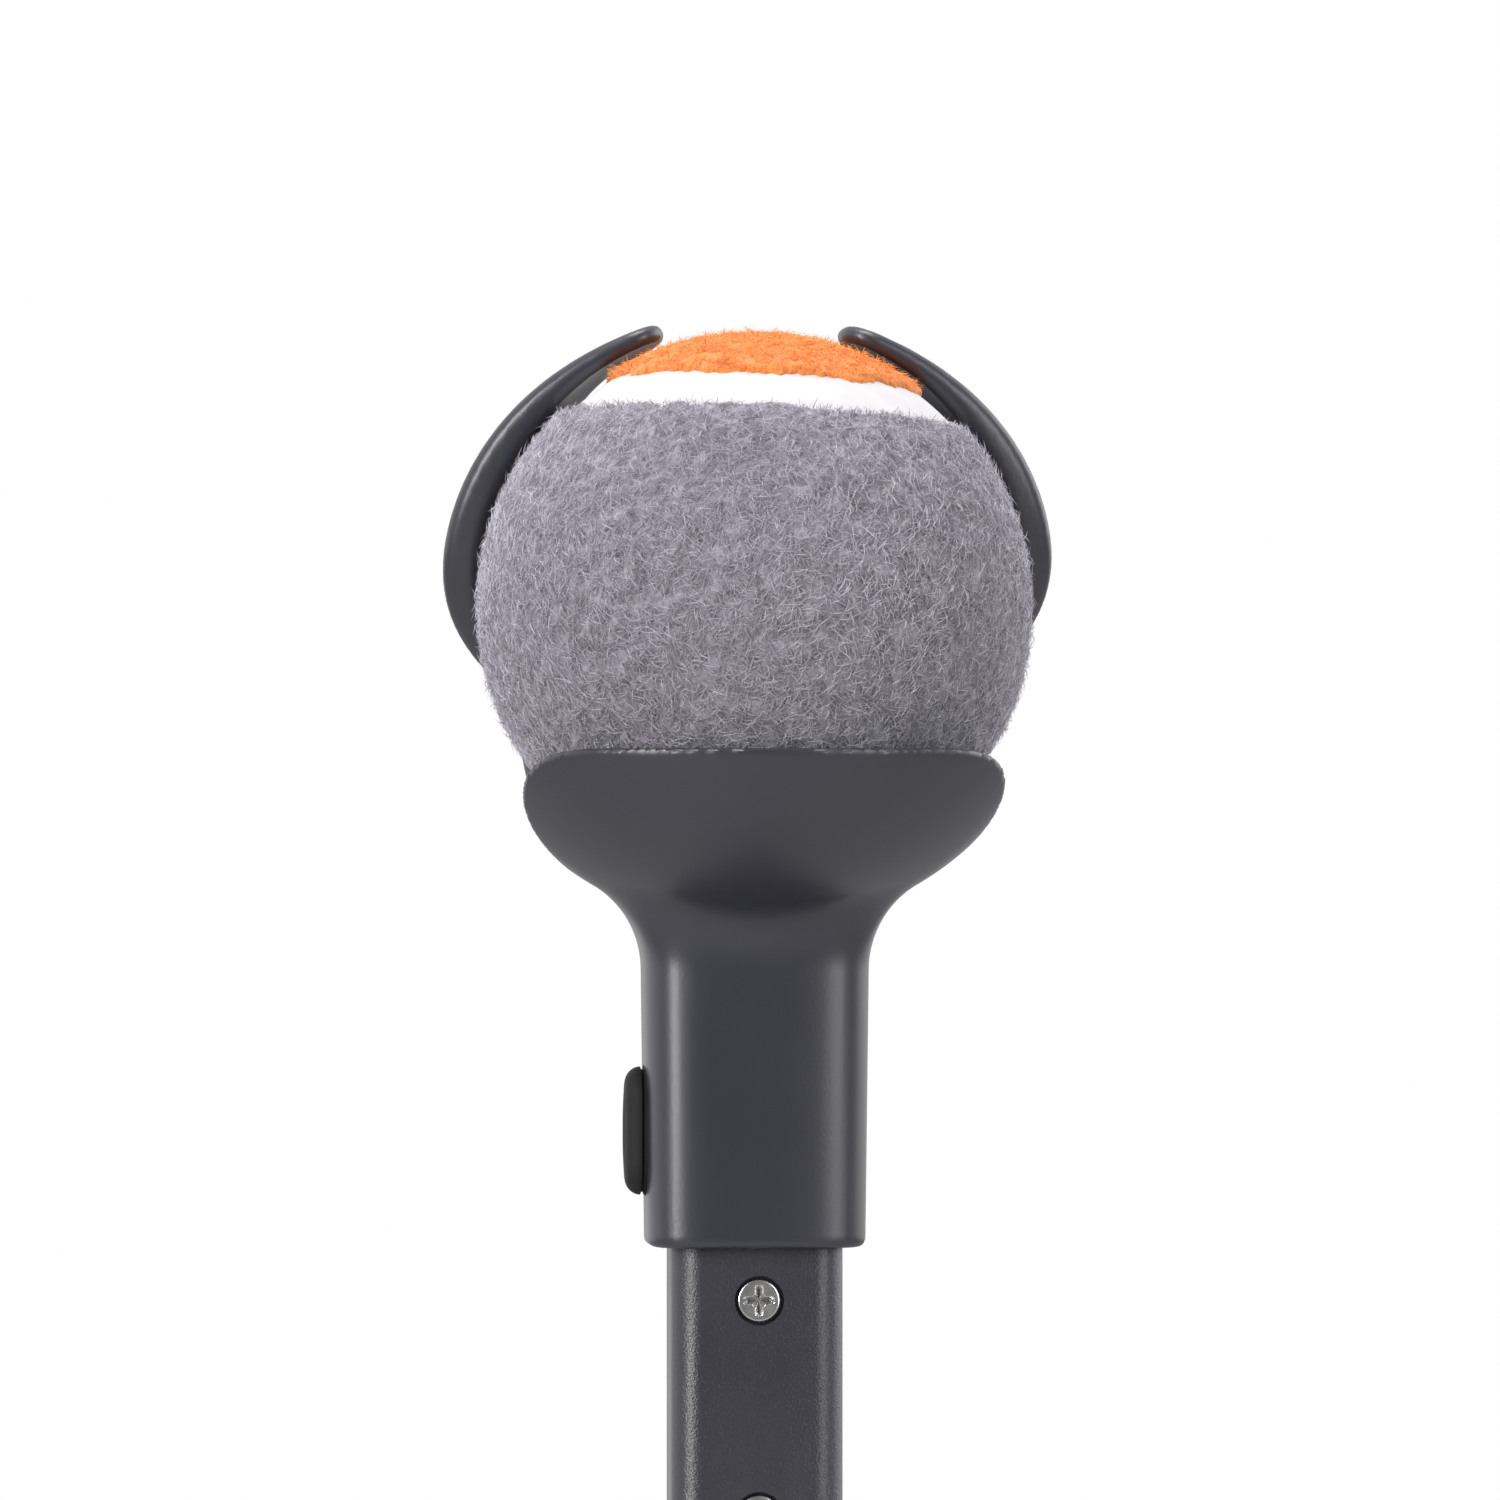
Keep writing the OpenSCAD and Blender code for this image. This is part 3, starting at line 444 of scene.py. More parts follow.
# The lock spring, a leaf hairpin between the collar's back and the lever's pad: its free leg follows the pad
lock_y, lock_rise, lock_long, lock_turn = lock_low[1] + leaf_t / 2, 2.5, 5.5, 0.32
turn = np.linspace(np.pi, 0, 8)
crown = np.stack([lock_turn * (1 + np.cos(turn)), lock_long + lock_turn * np.sin(turn)], axis=1)
hairpin = [[0, 0], *crown, [lock_rise, 0]]
lock_spring = plate("lock_leaf", leaf_outline(bent(hairpin, 1)), lock_high[0] - lock_low[0], leaf_edge)
shifted(lock_spring, 0, lock_y, lock_low[2] + leaf_t / 2)
dressed(lock_spring, spring_steel)
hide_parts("lock_spring")
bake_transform(lock_spring)


# Grip: a sleeve of soft black rubber pushed over the handle tube, with five finger hollows that are
# deeper in front, rounded ends, and a fine moulded grain all over.
grip_rubber = finish_of("grained black rubber", (0.018, 0.018, 0.020), (0.027, 0.027, 0.029), (0.62, 0.78),
                        patch=9, grain=0.55, depth=0.09)
grip_high = corners("grip")[1]
grip_half, grip_t, grip_wave, finger_l = grip_high[2], 3.6, 1.4, 24.0
grip_edge, end_round, wave_fade, grip_fit = 1.5, 4.0, 12.0, 0.1
grip_outline = rounded_outline(grip_high[0], grip_high[1], tube_corner + grip_t, arc=24, side=16)


def smooth(t):
    """Soft step from 0 to 1: 3t^2 - 2t^3 with t held between 0 and 1."""
    t = np.clip(t, 0, 1)
    return t * t * (3 - 2 * t)


def grip_grid():
    """Rings up the outside, drawn in by a cosine of the height at each finger hollow, more in front
    than behind, and by a quarter ellipse at the ends; then straight down the bore."""
    z = grip_half * np.sin(np.linspace(-np.pi / 2, np.pi / 2, 241))
    end = grip_half - np.abs(z)
    lip = grip_edge * (1 - np.sqrt(1 - (1 - np.minimum(end / end_round, 1)) ** 2))
    wave = grip_wave * (1 - np.cos(2 * np.pi * z / finger_l)) / 2 * smooth((end - end_round) / wave_fade)
    outer = stacked(grip_outline, lip, z)
    normal = grip_outline[1]
    outer[..., :2] -= wave[:, None, None] * (1 - 0.5 * normal[:, 1])[:, None] * normal
    bore = stacked(grip_outline, np.full(9, grip_t - grip_fit), np.linspace(grip_half, -grip_half, 9))
    return np.concatenate([outer, bore])


grip = skin("grip_rubber_sleeve", grip_grid(), loop=True)
placed(grip, grip_rubber, "handle", "grip_rubber", "grip")


# End cap: a solid moulded foot with a round end and a hole to hang the launcher up by. Its plug sits
# in the handle tube and a steel cross pin holds it there, under the grip.
cap_low, cap_high = corners("end_cap")
cap_bottom, cap_top = cap_low[2], tube_low[2]
plug_top, hang_z, hang_r, hang_l, cap_edge = cap_high[2], cap_low[2] + 10, 3.5, 40, 1.6
cap_corner, plug_half, plug_corner = tube_corner + 2.6, (11.6, 8.1), 5.2


def cap_grid():
    """Rings from the foot up to the plug, each a rounded rectangle. The foot is round in front view:
    a ring's half width is that of a circle at its height, and its corners tighten with it."""
    t = np.linspace(0, np.pi / 2, 8)[1:]
    wide, deep = cap_high[:2]
    foot = np.linspace(0.12, np.pi / 2, 40)
    half_w = np.concatenate([wide * np.sin(foot[:1]), wide * np.sin(foot), np.full(7, wide),
                             wide - cap_edge * (1 - np.cos(t)), np.full(4, plug_half[0])])
    z = np.concatenate([cap_bottom + wide * (1 - np.cos(foot[:1])), cap_bottom + wide * (1 - np.cos(foot)),
                        np.linspace(cap_bottom + wide, cap_top - cap_edge, 8)[1:],
                        cap_top - cap_edge * (1 - np.sin(t)), [cap_top, plug_top - 0.6, plug_top, plug_top]])
    body = 1 + len(foot) + len(t)
    half_d = np.concatenate([np.full(body, deep), deep - cap_edge * (1 - np.cos(t)),
                             np.full(4, plug_half[1])])
    radius = np.concatenate([cap_corner * half_w[:body] / wide, np.full(7, cap_corner - cap_edge / 2),
                             np.full(4, plug_corner)])
    share = np.ones(len(z))
    share[[0, -1]] = 0
    centre, normal = oblong(20, 24)
    centre = centre * np.stack([half_w - radius, half_d - radius], axis=1)[:, None]
    return stacked((centre, normal, radius), 0, z, share)


cap = skin("end_cap_moulding", cap_grid())
hang_hole = laid_along(prism("hole", round_outline(hang_r), -hang_l / 2, hang_l / 2), [0, 2, 1])
cap = joined(cap, [shifted(hang_hole, 0, 0, hang_z)])
placed(cap, head_plastic, "handle", "head_plastic", "end_cap")


# Shaft: the inner tube, an aluminium extrusion with softly rounded corners and a fine-grained powder
# coat. It has two counterbored screw holes in front, and a row of square notches behind for the lever.
shaft_low, shaft_high = corners("shaft_tube")
shaft_wall, shaft_corner, shaft_edge = 2.0, 3.6, 0.35
notches, notch_pitch, notch_half, notch_h, notch_corner = 7, 35.0, (3.0, 2.2), 4.2, 0.5
spigot_screw_low, spigot_screw_high = corners("spigot_screws")
screw_heights = [spigot_screw_high[2] - head_r, spigot_screw_low[2] + head_r]
shaft_outline = rounded_outline(shaft_high[0], shaft_high[1], shaft_corner, arc=16, side=6)
shaft = skin("shaft_coated", stacked(
    shaft_outline, *wall_profile(shaft_wall, shaft_low[2], shaft_high[2], shaft_edge)), loop=True)
shaft_tools = []
for step in range(notches):
    notch = prism("notch", rounded_outline(*notch_half, notch_corner), -notch_h / 2, notch_h / 2)
    shaft_tools.append(shifted(notch, 0, shaft_high[1], tooth_z + step * notch_pitch))
for height in screw_heights:
    for radius, depth in ((sink_r, sink_h), (shank_r + 0.1, 2 * shaft_wall)):
        hole = prism("hole", round_outline(radius), -1, depth)
        shaft_tools.append(shifted(laid_along(hole, [0, 2, 1]), 0, shaft_low[1], height))
shaft = joined(shaft, shaft_tools)
placed(shaft, shaft_coat, "shaft", "shaft_coat", "shaft_tube")
for name in ("shaft_foot", "head_spigot"):
    dressed(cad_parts[name], inner_plastic)

# The latch spring, a U of leaf steel in the spigot: its nose locks the head, and the button presses it back
latch_low, latch_high = corners("latch_spring")
latch_x, latch_nose, latch_press = corners("head_spigot")[1][0] - 1.6, -latch_low[0] - leaf_t / 2, 2.1
latch_z = latch_low[2] + leaf_t / 2
latch_l, nose_from, nose_low, nose_high, nose_to = 21.6, 10.2, 12.0, 15.2, 17.0
latch_way = [[0, latch_l], [0, 0], [-latch_x, 0], [-latch_x, nose_from], [-latch_nose, nose_low],
             [-latch_nose, nose_high], [-latch_x, nose_to], [-latch_x, latch_l]]
latch = plate("latch_leaf", leaf_outline(bent(latch_way, 3)), latch_high[1] - latch_low[1], leaf_edge)
shifted(laid_along(latch, [1, 0, 2]), 0, 0, latch_z)
placed(latch, spring_steel, "shaft", "spring_steel", "latch_spring")
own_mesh(latch)
for number, height in enumerate(screw_heights, 1):
    screw = laid_along(cross_screw(f"spigot_screw_{number}", spigot_screw_l), [0, 2, 1], (1, -1, 1))
    shifted(screw, 0, shaft_low[1] + face_sink, height)
    replaced = ["spigot_screws"] if number == 1 else []
    placed(screw, screw_steel, "shaft", "screw_steel", *replaced)


# Launcher head: one injection moulding in satin charcoal plastic. A sleeve slides over the shaft's
# spigot, a flared neck carries a cup with a front lip, and two claw arms curve round the ball behind.
ball_low, ball_high = corners("ball_core")
ball_place = (ball_low + ball_high) / 2
head_low, head_high = corners("launcher_head")
cup_out, cup_in, cup_lift, neck_drop, socket_l = 37.3, 33.6, 1.1, 42.1, 32.0
sleeve_hw, sleeve_hd, sleeve_power, sleeve_draft, sleeve_edge = 12.7, 9.2, 3.8, 0.4, 1.0

# The rim's latitudes are degrees below the ball's middle. Its other angles go round from the front.
lip_lat, lip_half, lip_fall, lip_ease = 25.9, 32, 63, 1.65
side_lat, side_end, claw_join, claw_lap = 53.5, 110, 138, 7.5

# The claw is part of a ring about an axis that is tilted up and back. Its edges are angles from that axis.
# Where it widens, thins, narrows, stops hugging the ball and ends are angles along the ring from below.
ring_tilt, claw_root, claw_front, claw_tip, claw_back = np.radians(21), 61, 76.5, 70.5, 45
root_end, wide_at, thin_from, narrow_from, hug_from, hug_to, claw_reach = 50, 98, 60, 90, 120, 160, 160
hug_r, arm_t, tip_t, tip_draw, tip_narrow, tip_corner = 32.6, 3.6, 2.0, 2.2, 11, 4.0
arm_blend, rim_round, arm_round = 7.0, 0.8, 1.5


def claw_lat(front):
    """Latitude of the claw's lower edge at an angle from the front, where a cone about the ring's axis
    meets that meridian."""
    up, out = np.sin(ring_tilt), -np.cos(ring_tilt) * np.cos(np.radians(front))
    return np.degrees(np.arcsin(np.cos(np.radians(claw_root)) / np.hypot(up, out)) - np.arctan2(out, up))


def lip_fallen(front):
    """How far the rim has come down from the lip at an angle from the front: 0 at the lip, 1 at the sides."""
    return smooth((np.maximum(front - lip_half, 0) / lip_fall) ** lip_ease)


def rim_lat(front):
    """Latitude of the cup's rim: level at the lip, curving down to the sides, then up into the claw."""
    rise = smooth((front - side_end) / (claw_join - side_end))
    claw = claw_lat(np.maximum(front, claw_join)) + claw_lap
    return (claw + side_lat) * rise - lip_lat - (side_lat - lip_lat) * lip_fallen(front)


def sleeve_edge_at(turn):
    """Distance from the axis to the sleeve's section at an angle from +X: an oblong with crowned sides
    and soft corners, on which the powers of x and y over the half width and half depth sum to 1."""
    c, s = np.abs(np.cos(turn)) / sleeve_hw, np.abs(np.sin(turn)) / sleeve_hd
    return (c ** sleeve_power + s ** sleeve_power) ** (-1 / sleeve_power)


def round_max(a, b, radius):
    """Greater of two distances, with the edge between them rounded to a radius."""
    a, b = a + radius, b + radius
    return np.hypot(np.maximum(a, 0), np.maximum(b, 0)) + np.minimum(np.maximum(a, b), 0) - radius


def head_field(p):
    """About the distance to the head's surface in millimetres, below 0 inside; p is from the ball's centre.

    Cup and claw are one shell between two radii. The rim is cut by a cone through its outer edge, level
    at the lip and pointing to the ball's centre elsewhere. The distance to that cut and the distance to
    the claw's outline are blended softly into one, and the shell's edges are rounded. The sleeve and
    neck below it are the sleeve's section and, at each angle, an arc up to the cup."""
    x, y, z = p[..., 0], p[..., 1], p[..., 2]
    across = np.hypot(x, y)
    size = np.hypot(across, z) + 1e-9
    lat, turn = np.arctan2(z, across), np.arctan2(y, x)
    front = np.abs((np.degrees(turn) + 270) % 360 - 180)
    arc = np.radians(1) * cup_out
    slope = (rim_lat(front + 0.5) - rim_lat(front - 0.5)) / np.maximum(np.cos(lat), 0.2)
    rim = np.radians(rim_lat(front))
    apex = cup_out * np.sin(rim) * (1 - lip_fallen(front))
    cut = np.arctan2(cup_out * np.sin(rim) - apex, cup_out * np.cos(rim))
    to_rim = ((z - apex) * np.cos(cut) - across * np.sin(cut)) / np.sqrt(1 + slope ** 2)
    off = np.degrees(np.arccos(np.clip((y * np.cos(ring_tilt) + z * np.sin(ring_tilt)) / size, -1, 1)))
    along = np.abs(np.degrees(np.arctan2(x, y * np.sin(ring_tilt) - z * np.cos(ring_tilt))))
    taper = smooth((along - thin_from) / (claw_reach - thin_from))
    back = claw_back + tip_narrow * smooth((along - narrow_from) / (claw_reach - narrow_from))
    edge = claw_root + (claw_front - claw_root) * smooth((along - root_end) / (wide_at - root_end))
    edge = edge - (claw_front - claw_tip) * smooth((along - wide_at) / (claw_reach - wide_at))
    to_side = (np.abs(off - (edge + back) / 2) - (edge - back) / 2) * arc
    to_tip = (along - claw_reach) * arc * np.sin(np.radians(off))
    to_claw = round_max(to_side, to_tip, tip_corner)
    cup = np.clip(0.5 + (to_claw - to_rim) / (2 * arm_blend), 0, 1)
    plan = to_claw + (to_rim - to_claw) * cup - arm_blend * cup * (1 - cup)
    claw_out = cup_out - tip_draw * taper ** 3
    outer = claw_out + (cup_out - claw_out) * cup
    cup_floor = cup_lift * np.sin(lat) + np.sqrt(cup_in ** 2 - (cup_lift * np.cos(lat)) ** 2)
    claw_floor = cup_out - tip_draw * taper ** 2 - arm_t - (tip_t - arm_t) * taper
    claw_floor = hug_r + (claw_floor - hug_r) * smooth((along - hug_from) / (hug_to - hug_from))
    inner = claw_floor + (cup_floor - claw_floor) * cup
    half = (outer - inner) / 2
    edge_r = np.minimum(arm_round + (rim_round - arm_round) * cup, half)
    shell = round_max(plan, np.abs(size - (outer + inner) / 2) - half, edge_r)
    low = sleeve_edge_at(turn)
    high = low + sleeve_draft
    fillet = (high ** 2 + neck_drop ** 2 - cup_out ** 2) / (2 * (cup_out - high))
    start = np.arctan2(-neck_drop, high + fillet)
    rise = np.clip((z + neck_drop + socket_l) / socket_l, 0, 1)
    sleeve = round_max(across - low - sleeve_draft * rise, -neck_drop - socket_l - z, sleeve_edge)
    neck = np.maximum(fillet - np.hypot(across - high - fillet, z + neck_drop), (lat - start) * size)
    stem = np.where(z <= -neck_drop, sleeve, neck)
    cavity = cup_in - np.sqrt(across ** 2 + (z - cup_lift) ** 2)
    return np.minimum(shell, np.maximum(stem, cavity))


def net(field, low, high, step):
    """Closed net over the surface where a field is 0, as points and four-sided faces.

    Each cell of a cubic grid that the surface crosses gets one point, the mean of the crossings on its
    edges, and each grid edge that it crosses joins the four cells round it. The points are then moved
    onto the surface along the field's slope."""
    axes = [np.arange(a, b + step, step) for a, b in zip(low, high)]
    layers = [axes[2][k:k + 20] for k in range(0, len(axes[2]), 20)]
    value = np.concatenate([field(np.stack(np.meshgrid(axes[0], axes[1], layer, indexing="ij"), axis=-1))
                            for layer in layers], axis=2)
    inside = value < 0
    corner = np.array([[i, j, k] for i in (0, 1) for j in (0, 1) for k in (0, 1)])
    size = np.array(inside.shape) - 1
    parts = [inside[i:i + size[0], j:j + size[1], k:k + size[2]] for i, j, k in corner]
    count = np.sum(parts, axis=0, dtype=np.int8)
    cells = np.argwhere((count > 0) & (count < 8))
    at_corner = value[tuple(np.moveaxis(cells[:, None] + corner, 2, 0))]
    pairs = np.array([(a, b) for a in range(8) for b in range(a + 1, 8)
                      if np.abs(corner[a] - corner[b]).sum() == 1])
    first, second = at_corner[:, pairs[:, 0]], at_corner[:, pairs[:, 1]]
    crossed = (first < 0) != (second < 0)
    share = np.where(crossed, first / np.where(crossed, first - second, 1), 0)[..., None]
    place = corner[pairs[:, 0]] + share * (corner[pairs[:, 1]] - corner[pairs[:, 0]])
    place = (place * crossed[..., None]).sum(axis=1) / crossed.sum(axis=1)[:, None]
    points = np.array(low) + (cells + place) * step
    number = np.full(count.shape, -1)
    number[tuple(cells.T)] = np.arange(len(cells))
    faces = []
    for axis in range(3):
        u, v = np.eye(3, dtype=int)[[(axis + 1) % 3, (axis + 2) % 3]]
        at = np.argwhere(np.diff(inside, axis=axis))
        faces.append(np.stack([number[tuple((at - shift).T)] for shift in (0 * u, u, u + v, v)], axis=1))
    for _ in range(6):
        slope = np.stack([field(points + e) - field(points - e) for e in 0.02 * np.eye(3)], axis=1) / 0.04
        reach = np.clip(field(points), -0.3, 0.3) / np.maximum((slope ** 2).sum(axis=1), 0.25)
        points = points - reach[:, None] * slope
    return points, np.concatenate(faces)


net_step, net_margin = 0.55, 1.5
head_points, head_faces = net(head_field, head_low - ball_place - net_margin,
                              head_high - ball_place + net_margin, net_step)
head = mesh_piece("head_moulding", head_points + ball_place, head_faces)
button_low, button_high = corners("head_button")
button_z = (button_low[2] + button_high[2]) / 2
button_h, button_w, button_clear, flange_lap, flange_t = 14.9, 7.2, 0.2, 0.9, 1.0


def button_outline(lap, arc=12, side=8):
    """Stadium of the button's face, widened by a lap all round."""
    return rounded_outline(button_h / 2 + lap, button_w / 2 + lap, button_w / 2 + lap, arc, side)


sleeve_z, mouth_l, run_clear, pocket_half, pocket_corner = head_low[2], 5, 0.3, (8.2, 4.7), 1.8
mouth_outline = rounded_outline(*(shaft_high[:2] + run_clear), shaft_corner + run_clear)
mouth = prism("mouth", mouth_outline, sleeve_z - 1, sleeve_z + mouth_l)
pocket_outline = rounded_outline(*pocket_half, pocket_corner)
pocket = prism("pocket", pocket_outline, sleeve_z + mouth_l - 1, sleeve_z + socket_l)
window = laid_along(prism("window", button_outline(button_clear), 0, 12), [2, 1, 0])
shifted(window, -18, 0, button_z)
room = laid_along(prism("room", button_outline(flange_lap + button_clear), 0, 5), [2, 1, 0])
shifted(room, button_high[0] - flange_t - button_clear, 0, button_z)
head = joined(head, [mouth, pocket, window, room], sharp=50)
placed(head, head_plastic, "head", "head_plastic", "launcher_head")


# Head button: a moulded press button of soft-touch plastic in the sleeve's side. Its flange sits
# behind the sleeve's wall, and pressing it frees the latch so that the head slides off the shaft.
button_plastic = finish_of("soft touch charcoal", (0.014, 0.0125, 0.0125), (0.019, 0.0175, 0.0175),
                           (0.6, 0.7), patch=6, grain=0.3, depth=0.012, gleam=0.2)
button_face, button_round, button_dome, groove_deep = button_low[0], 2.0, 0.22, 0.32


def button_grid():
    """Stadium rings from the middle of the domed face over its rounded rim, past a fine groove, along
    the body to the flange and across its back; heights run into the sleeve along +X."""
    t = np.linspace(0, np.pi / 2, 12)[1:]
    dome = np.linspace(0, 1, 10)
    body = button_high[0] - button_face
    inset = np.concatenate([np.full(10, button_round), button_round * (1 - np.sin(t)),
                            [0, groove_deep, groove_deep, 0, 0], np.full(3, -flange_lap)])
    depth = np.concatenate([button_dome * dome ** 2,
                            button_dome + (button_round - button_dome) * (1 - np.cos(t)),
                            button_round + np.array([0, 0.12, 0.3, 0.42]),
                            [body - flange_t, body - flange_t, body, body]])
    share = np.concatenate([dome, np.ones(18), [0]])
    return stacked(button_outline(0, arc=20, side=10), inset, depth, share)


button = laid_along(skin("head_button_moulding", button_grid()), [2, 1, 0])
shifted(button, button_face, 0, button_z)
placed(button, button_plastic, "button", "button_plastic", "head_button")


# Ball: a pressureless rubber core under woven wool felt in two colours, glued on, with a smooth white
# band between them. The ball is held by the springy claw and cup alone, leaning a little in them.
ball_rubber = finish_of("black rubber", (0.016, 0.016, 0.017), (0.022, 0.022, 0.023), (0.7, 0.8),
                        patch=9, grain=0.5, depth=0.02)
dressed(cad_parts["ball_core"], ball_rubber)
ball_lean, ball_back = np.radians(2.7), np.radians(-3.5)
felt_r, felt_edge, core_r, band_low, band_high, band_r, band_tuck = 31.85, 0.9, 28.35, 43, 55, 31.25, 2.5
pole_turn = np.array(Matrix.Rotation(ball_lean, 3, "Y") @ Matrix.Rotation(ball_back, 3, "X"))
rng = np.random.default_rng(7)


def waves(points, size, count=36):
    """Smooth seeded noise about 0 with a spread of 1: the sum of cosine waves of nearly one wavelength
    in random directions and phases."""
    ways = rng.normal(size=(count, 3))
    ways *= 2 * np.pi / size * rng.uniform(0.7, 1.4, (count, 1)) / np.linalg.norm(ways, axis=1, keepdims=True)
    return np.cos(points @ ways.T + rng.uniform(0, 2 * np.pi, count)).sum(axis=-1) * np.sqrt(2 / count)


def on_ball(lat, lon):
    """Unit directions at latitudes and longitudes in degrees about the ball's own upright axis."""
    lat, lon = np.broadcast_arrays(np.radians(lat), np.radians(lon))
    return np.stack([np.cos(lat) * np.cos(lon), np.cos(lat) * np.sin(lon), np.sin(lat)], axis=-1)


def ragged(edge, lon):
    """Latitude of a felt's cut edge round the ball, wandering by about half a degree."""
    belt = on_ball(0, lon) * felt_r
    return edge + 0.5 * waves(belt, 9) + 0.3 * waves(belt, 2.5)


def felt(name, pole, edge, rows, columns=420):
    """Closed felt cover from a pole to its cut edge: an outer skin lumped by noise and rounded over at
    the edge, and an inner skin on the core back to the pole."""
    lon = np.linspace(0, 360, columns, endpoint=False)
    cut = ragged(edge, lon)
    u = np.linspace(0, 1, rows)[:, None]
    lat = pole + (cut - pole) * u
    way = on_ball(lat, lon)
    lump = 0.09 * waves(way * felt_r, 3.4) + 0.06 * waves(way * felt_r, 1.6)
    to_edge = np.clip(1 - np.abs(cut - lat) * np.radians(felt_r) / felt_edge, 0, 1)
    outer = way * (felt_r + lump - felt_edge * (1 - np.sqrt(1 - to_edge ** 2)))[..., None]
    inner_lat = cut + (pole - cut) * np.linspace(0, 1, 12)[:, None]
    inner = on_ball(inner_lat, lon) * core_r
    return skin(name, np.concatenate([outer, inner]) @ pole_turn.T + ball_place)


def woolly(name, dark, light, fibre):
    """Felt: one noise mottles the colour and stands out as a fine bump, so its low pits are painted
    darker as painted shade and its tufts lighter as painted light. Fibres take their tone, with painted shade
    at the root, from an attribute.
    """
    material, tree, shader, ramp = two_toned(name, dark, light)
    for socket, value in (("Roughness", 0.95), ("Specular IOR Level", 0.15),
                          ("Sheen Weight", 0.25), ("Sheen Roughness", 0.5)):
        shader.inputs[socket].default_value = value
    if fibre:
        # The shade attribute holds each fibre's random tone, with painted shade at its root and painted light
        # at its tip.
        shade = added(tree, "ShaderNodeAttribute")
        shade.attribute_name = "shade"
        linked(tree, (shade.outputs["Fac"], ramp.inputs["Fac"]))
        return material
    place = added(tree, "ShaderNodeTexCoord").outputs["Object"]
    # One noise sets both the colour and the bump's height: a random mottle, with painted shade in the low
    # pits and painted light on the raised tufts.
    noise = added(tree, "ShaderNodeTexNoise", Scale=1 / (1.1 * mm), Detail=5, Roughness=0.65, Distortion=1.2)
    bump = added(tree, "ShaderNodeBump", Distance=0.5 * mm)
    linked(tree, (place, noise.inputs["Vector"]), (noise.outputs["Fac"], ramp.inputs["Fac"]),
           (noise.outputs["Fac"], bump.inputs["Height"]), (bump.outputs["Normal"], shader.inputs["Normal"]))
    return material


def lift(up, count):
    """Height of a fibre's tip: small in the cup's hollow, loose above it, with a few long strays."""
    loose = rng.gamma(1.6, 0.16, count) + (rng.uniform(size=count) < 0.05) * rng.uniform(0.3, 0.8, count)
    held = smooth((up[:, 2] + 0.62) / 0.2)
    return np.minimum(loose, 1.15) * (0.15 + 0.85 * held)


def nap(name, count, low, high, length=2.4, thick=0.045):
    """Fibres over a zone of latitudes, each a closed three-sided tapering tube of seven points.

    A fibre starts under the felt's face, runs along a direction that swirls smoothly over the ball with
    some scatter, bends a little and rises to its own height, and is short near the cut edge. Each has a
    random tone, painted darker at its root as painted shade and a little lighter at its tip as painted
    light, and its own cell of a square map, in which its ten triangles lie apart."""
    lat = np.degrees(np.arcsin(rng.uniform(*np.sin(np.radians([low, high])), count)))
    lon = rng.uniform(0, 360, count)
    up = on_ball(lat, lon)
    east = np.stack([-np.sin(np.radians(lon)), np.cos(np.radians(lon)), np.zeros(count)], axis=1)
    north = np.cross(up, east)
    swirl = (1.5 * waves(up * felt_r, 9) + rng.normal(0, 1.4, count))[:, None]
    ahead = np.cos(swirl) * east + np.sin(swirl) * north
    aside = np.cross(up, ahead)
    to_cut = np.radians(np.minimum(lat - low, high - lat))[:, None] * felt_r
    reach = length * rng.uniform(0.55, 1.25, (count, 1)) * np.clip(to_cut / length, 0.3, 1)
    bend = rng.normal(0, 0.3, (count, 1))
    raised = lift(up @ pole_turn.T, count)
    spine = []
    for t, rise in ((0.0, -0.25), (0.55, 0.12), (1.0, 0.05)):
        way = up * felt_r + reach * (t * ahead + bend * t * t * aside)
        way /= np.linalg.norm(way, axis=1, keepdims=True)
        spine.append(way * (felt_r + rise + raised * t)[:, None])
    corner = np.radians([90, 210, 330])
    ring = np.cos(corner)[:, None] * aside[:, None] + np.sin(corner)[:, None] * up[:, None]
    rings = [place[:, None] + width * ring for place, width in ((spine[0], thick), (spine[1], thick * 0.85))]
    points = np.concatenate([*rings, spine[2][:, None]], axis=1)
    face = np.array([[0, 2, 1], [0, 1, 4], [0, 4, 3], [1, 2, 5], [1, 5, 4], [2, 0, 3], [2, 3, 5],
                     [3, 4, 6], [4, 5, 6], [5, 3, 6]])
    faces = (face + 7 * np.arange(count)[:, None, None]).reshape(-1, 3)
    mesh = bpy.data.meshes.new(name)
    mesh.from_pydata((points.reshape(-1, 3) @ pole_turn.T + ball_place) * mm, [], faces)
    shade = mesh.attributes.new("shade", "FLOAT", "POINT")
    own = np.clip(rng.normal(0.5, 0.2, (count, 1)), 0.02, 0.98)
    # Each fibre's random tone, painted darker by 0.2 over its root ring as painted shade and lighter by 0.06
    # at its tip as painted light.
    shade.data.foreach_set("value", (own + np.array([-0.2, -0.2, -0.2, 0, 0, 0, 0.06])).ravel().clip(0, 1))
    side = int(np.ceil(np.sqrt(count)))
    cell = np.stack([np.arange(count) % side, np.arange(count) // side], axis=1)[:, None, None]
    slots = np.arange(10)[:, None]
    flat = np.array([[0.06, 0.2], [0.06, 0.8], [0.66, 0.5]]) * (0.1, 1) + slots[:, :, None] * (0.1, 0)
    laid = ((cell + flat) / side).reshape(-1, 2)
    mesh.uv_layers.new(name="OFBake").data.foreach_set("uv", laid.ravel())
    piece = bpy.data.objects.new(name, mesh)
    bpy.context.scene.collection.objects.link(piece)
    return piece


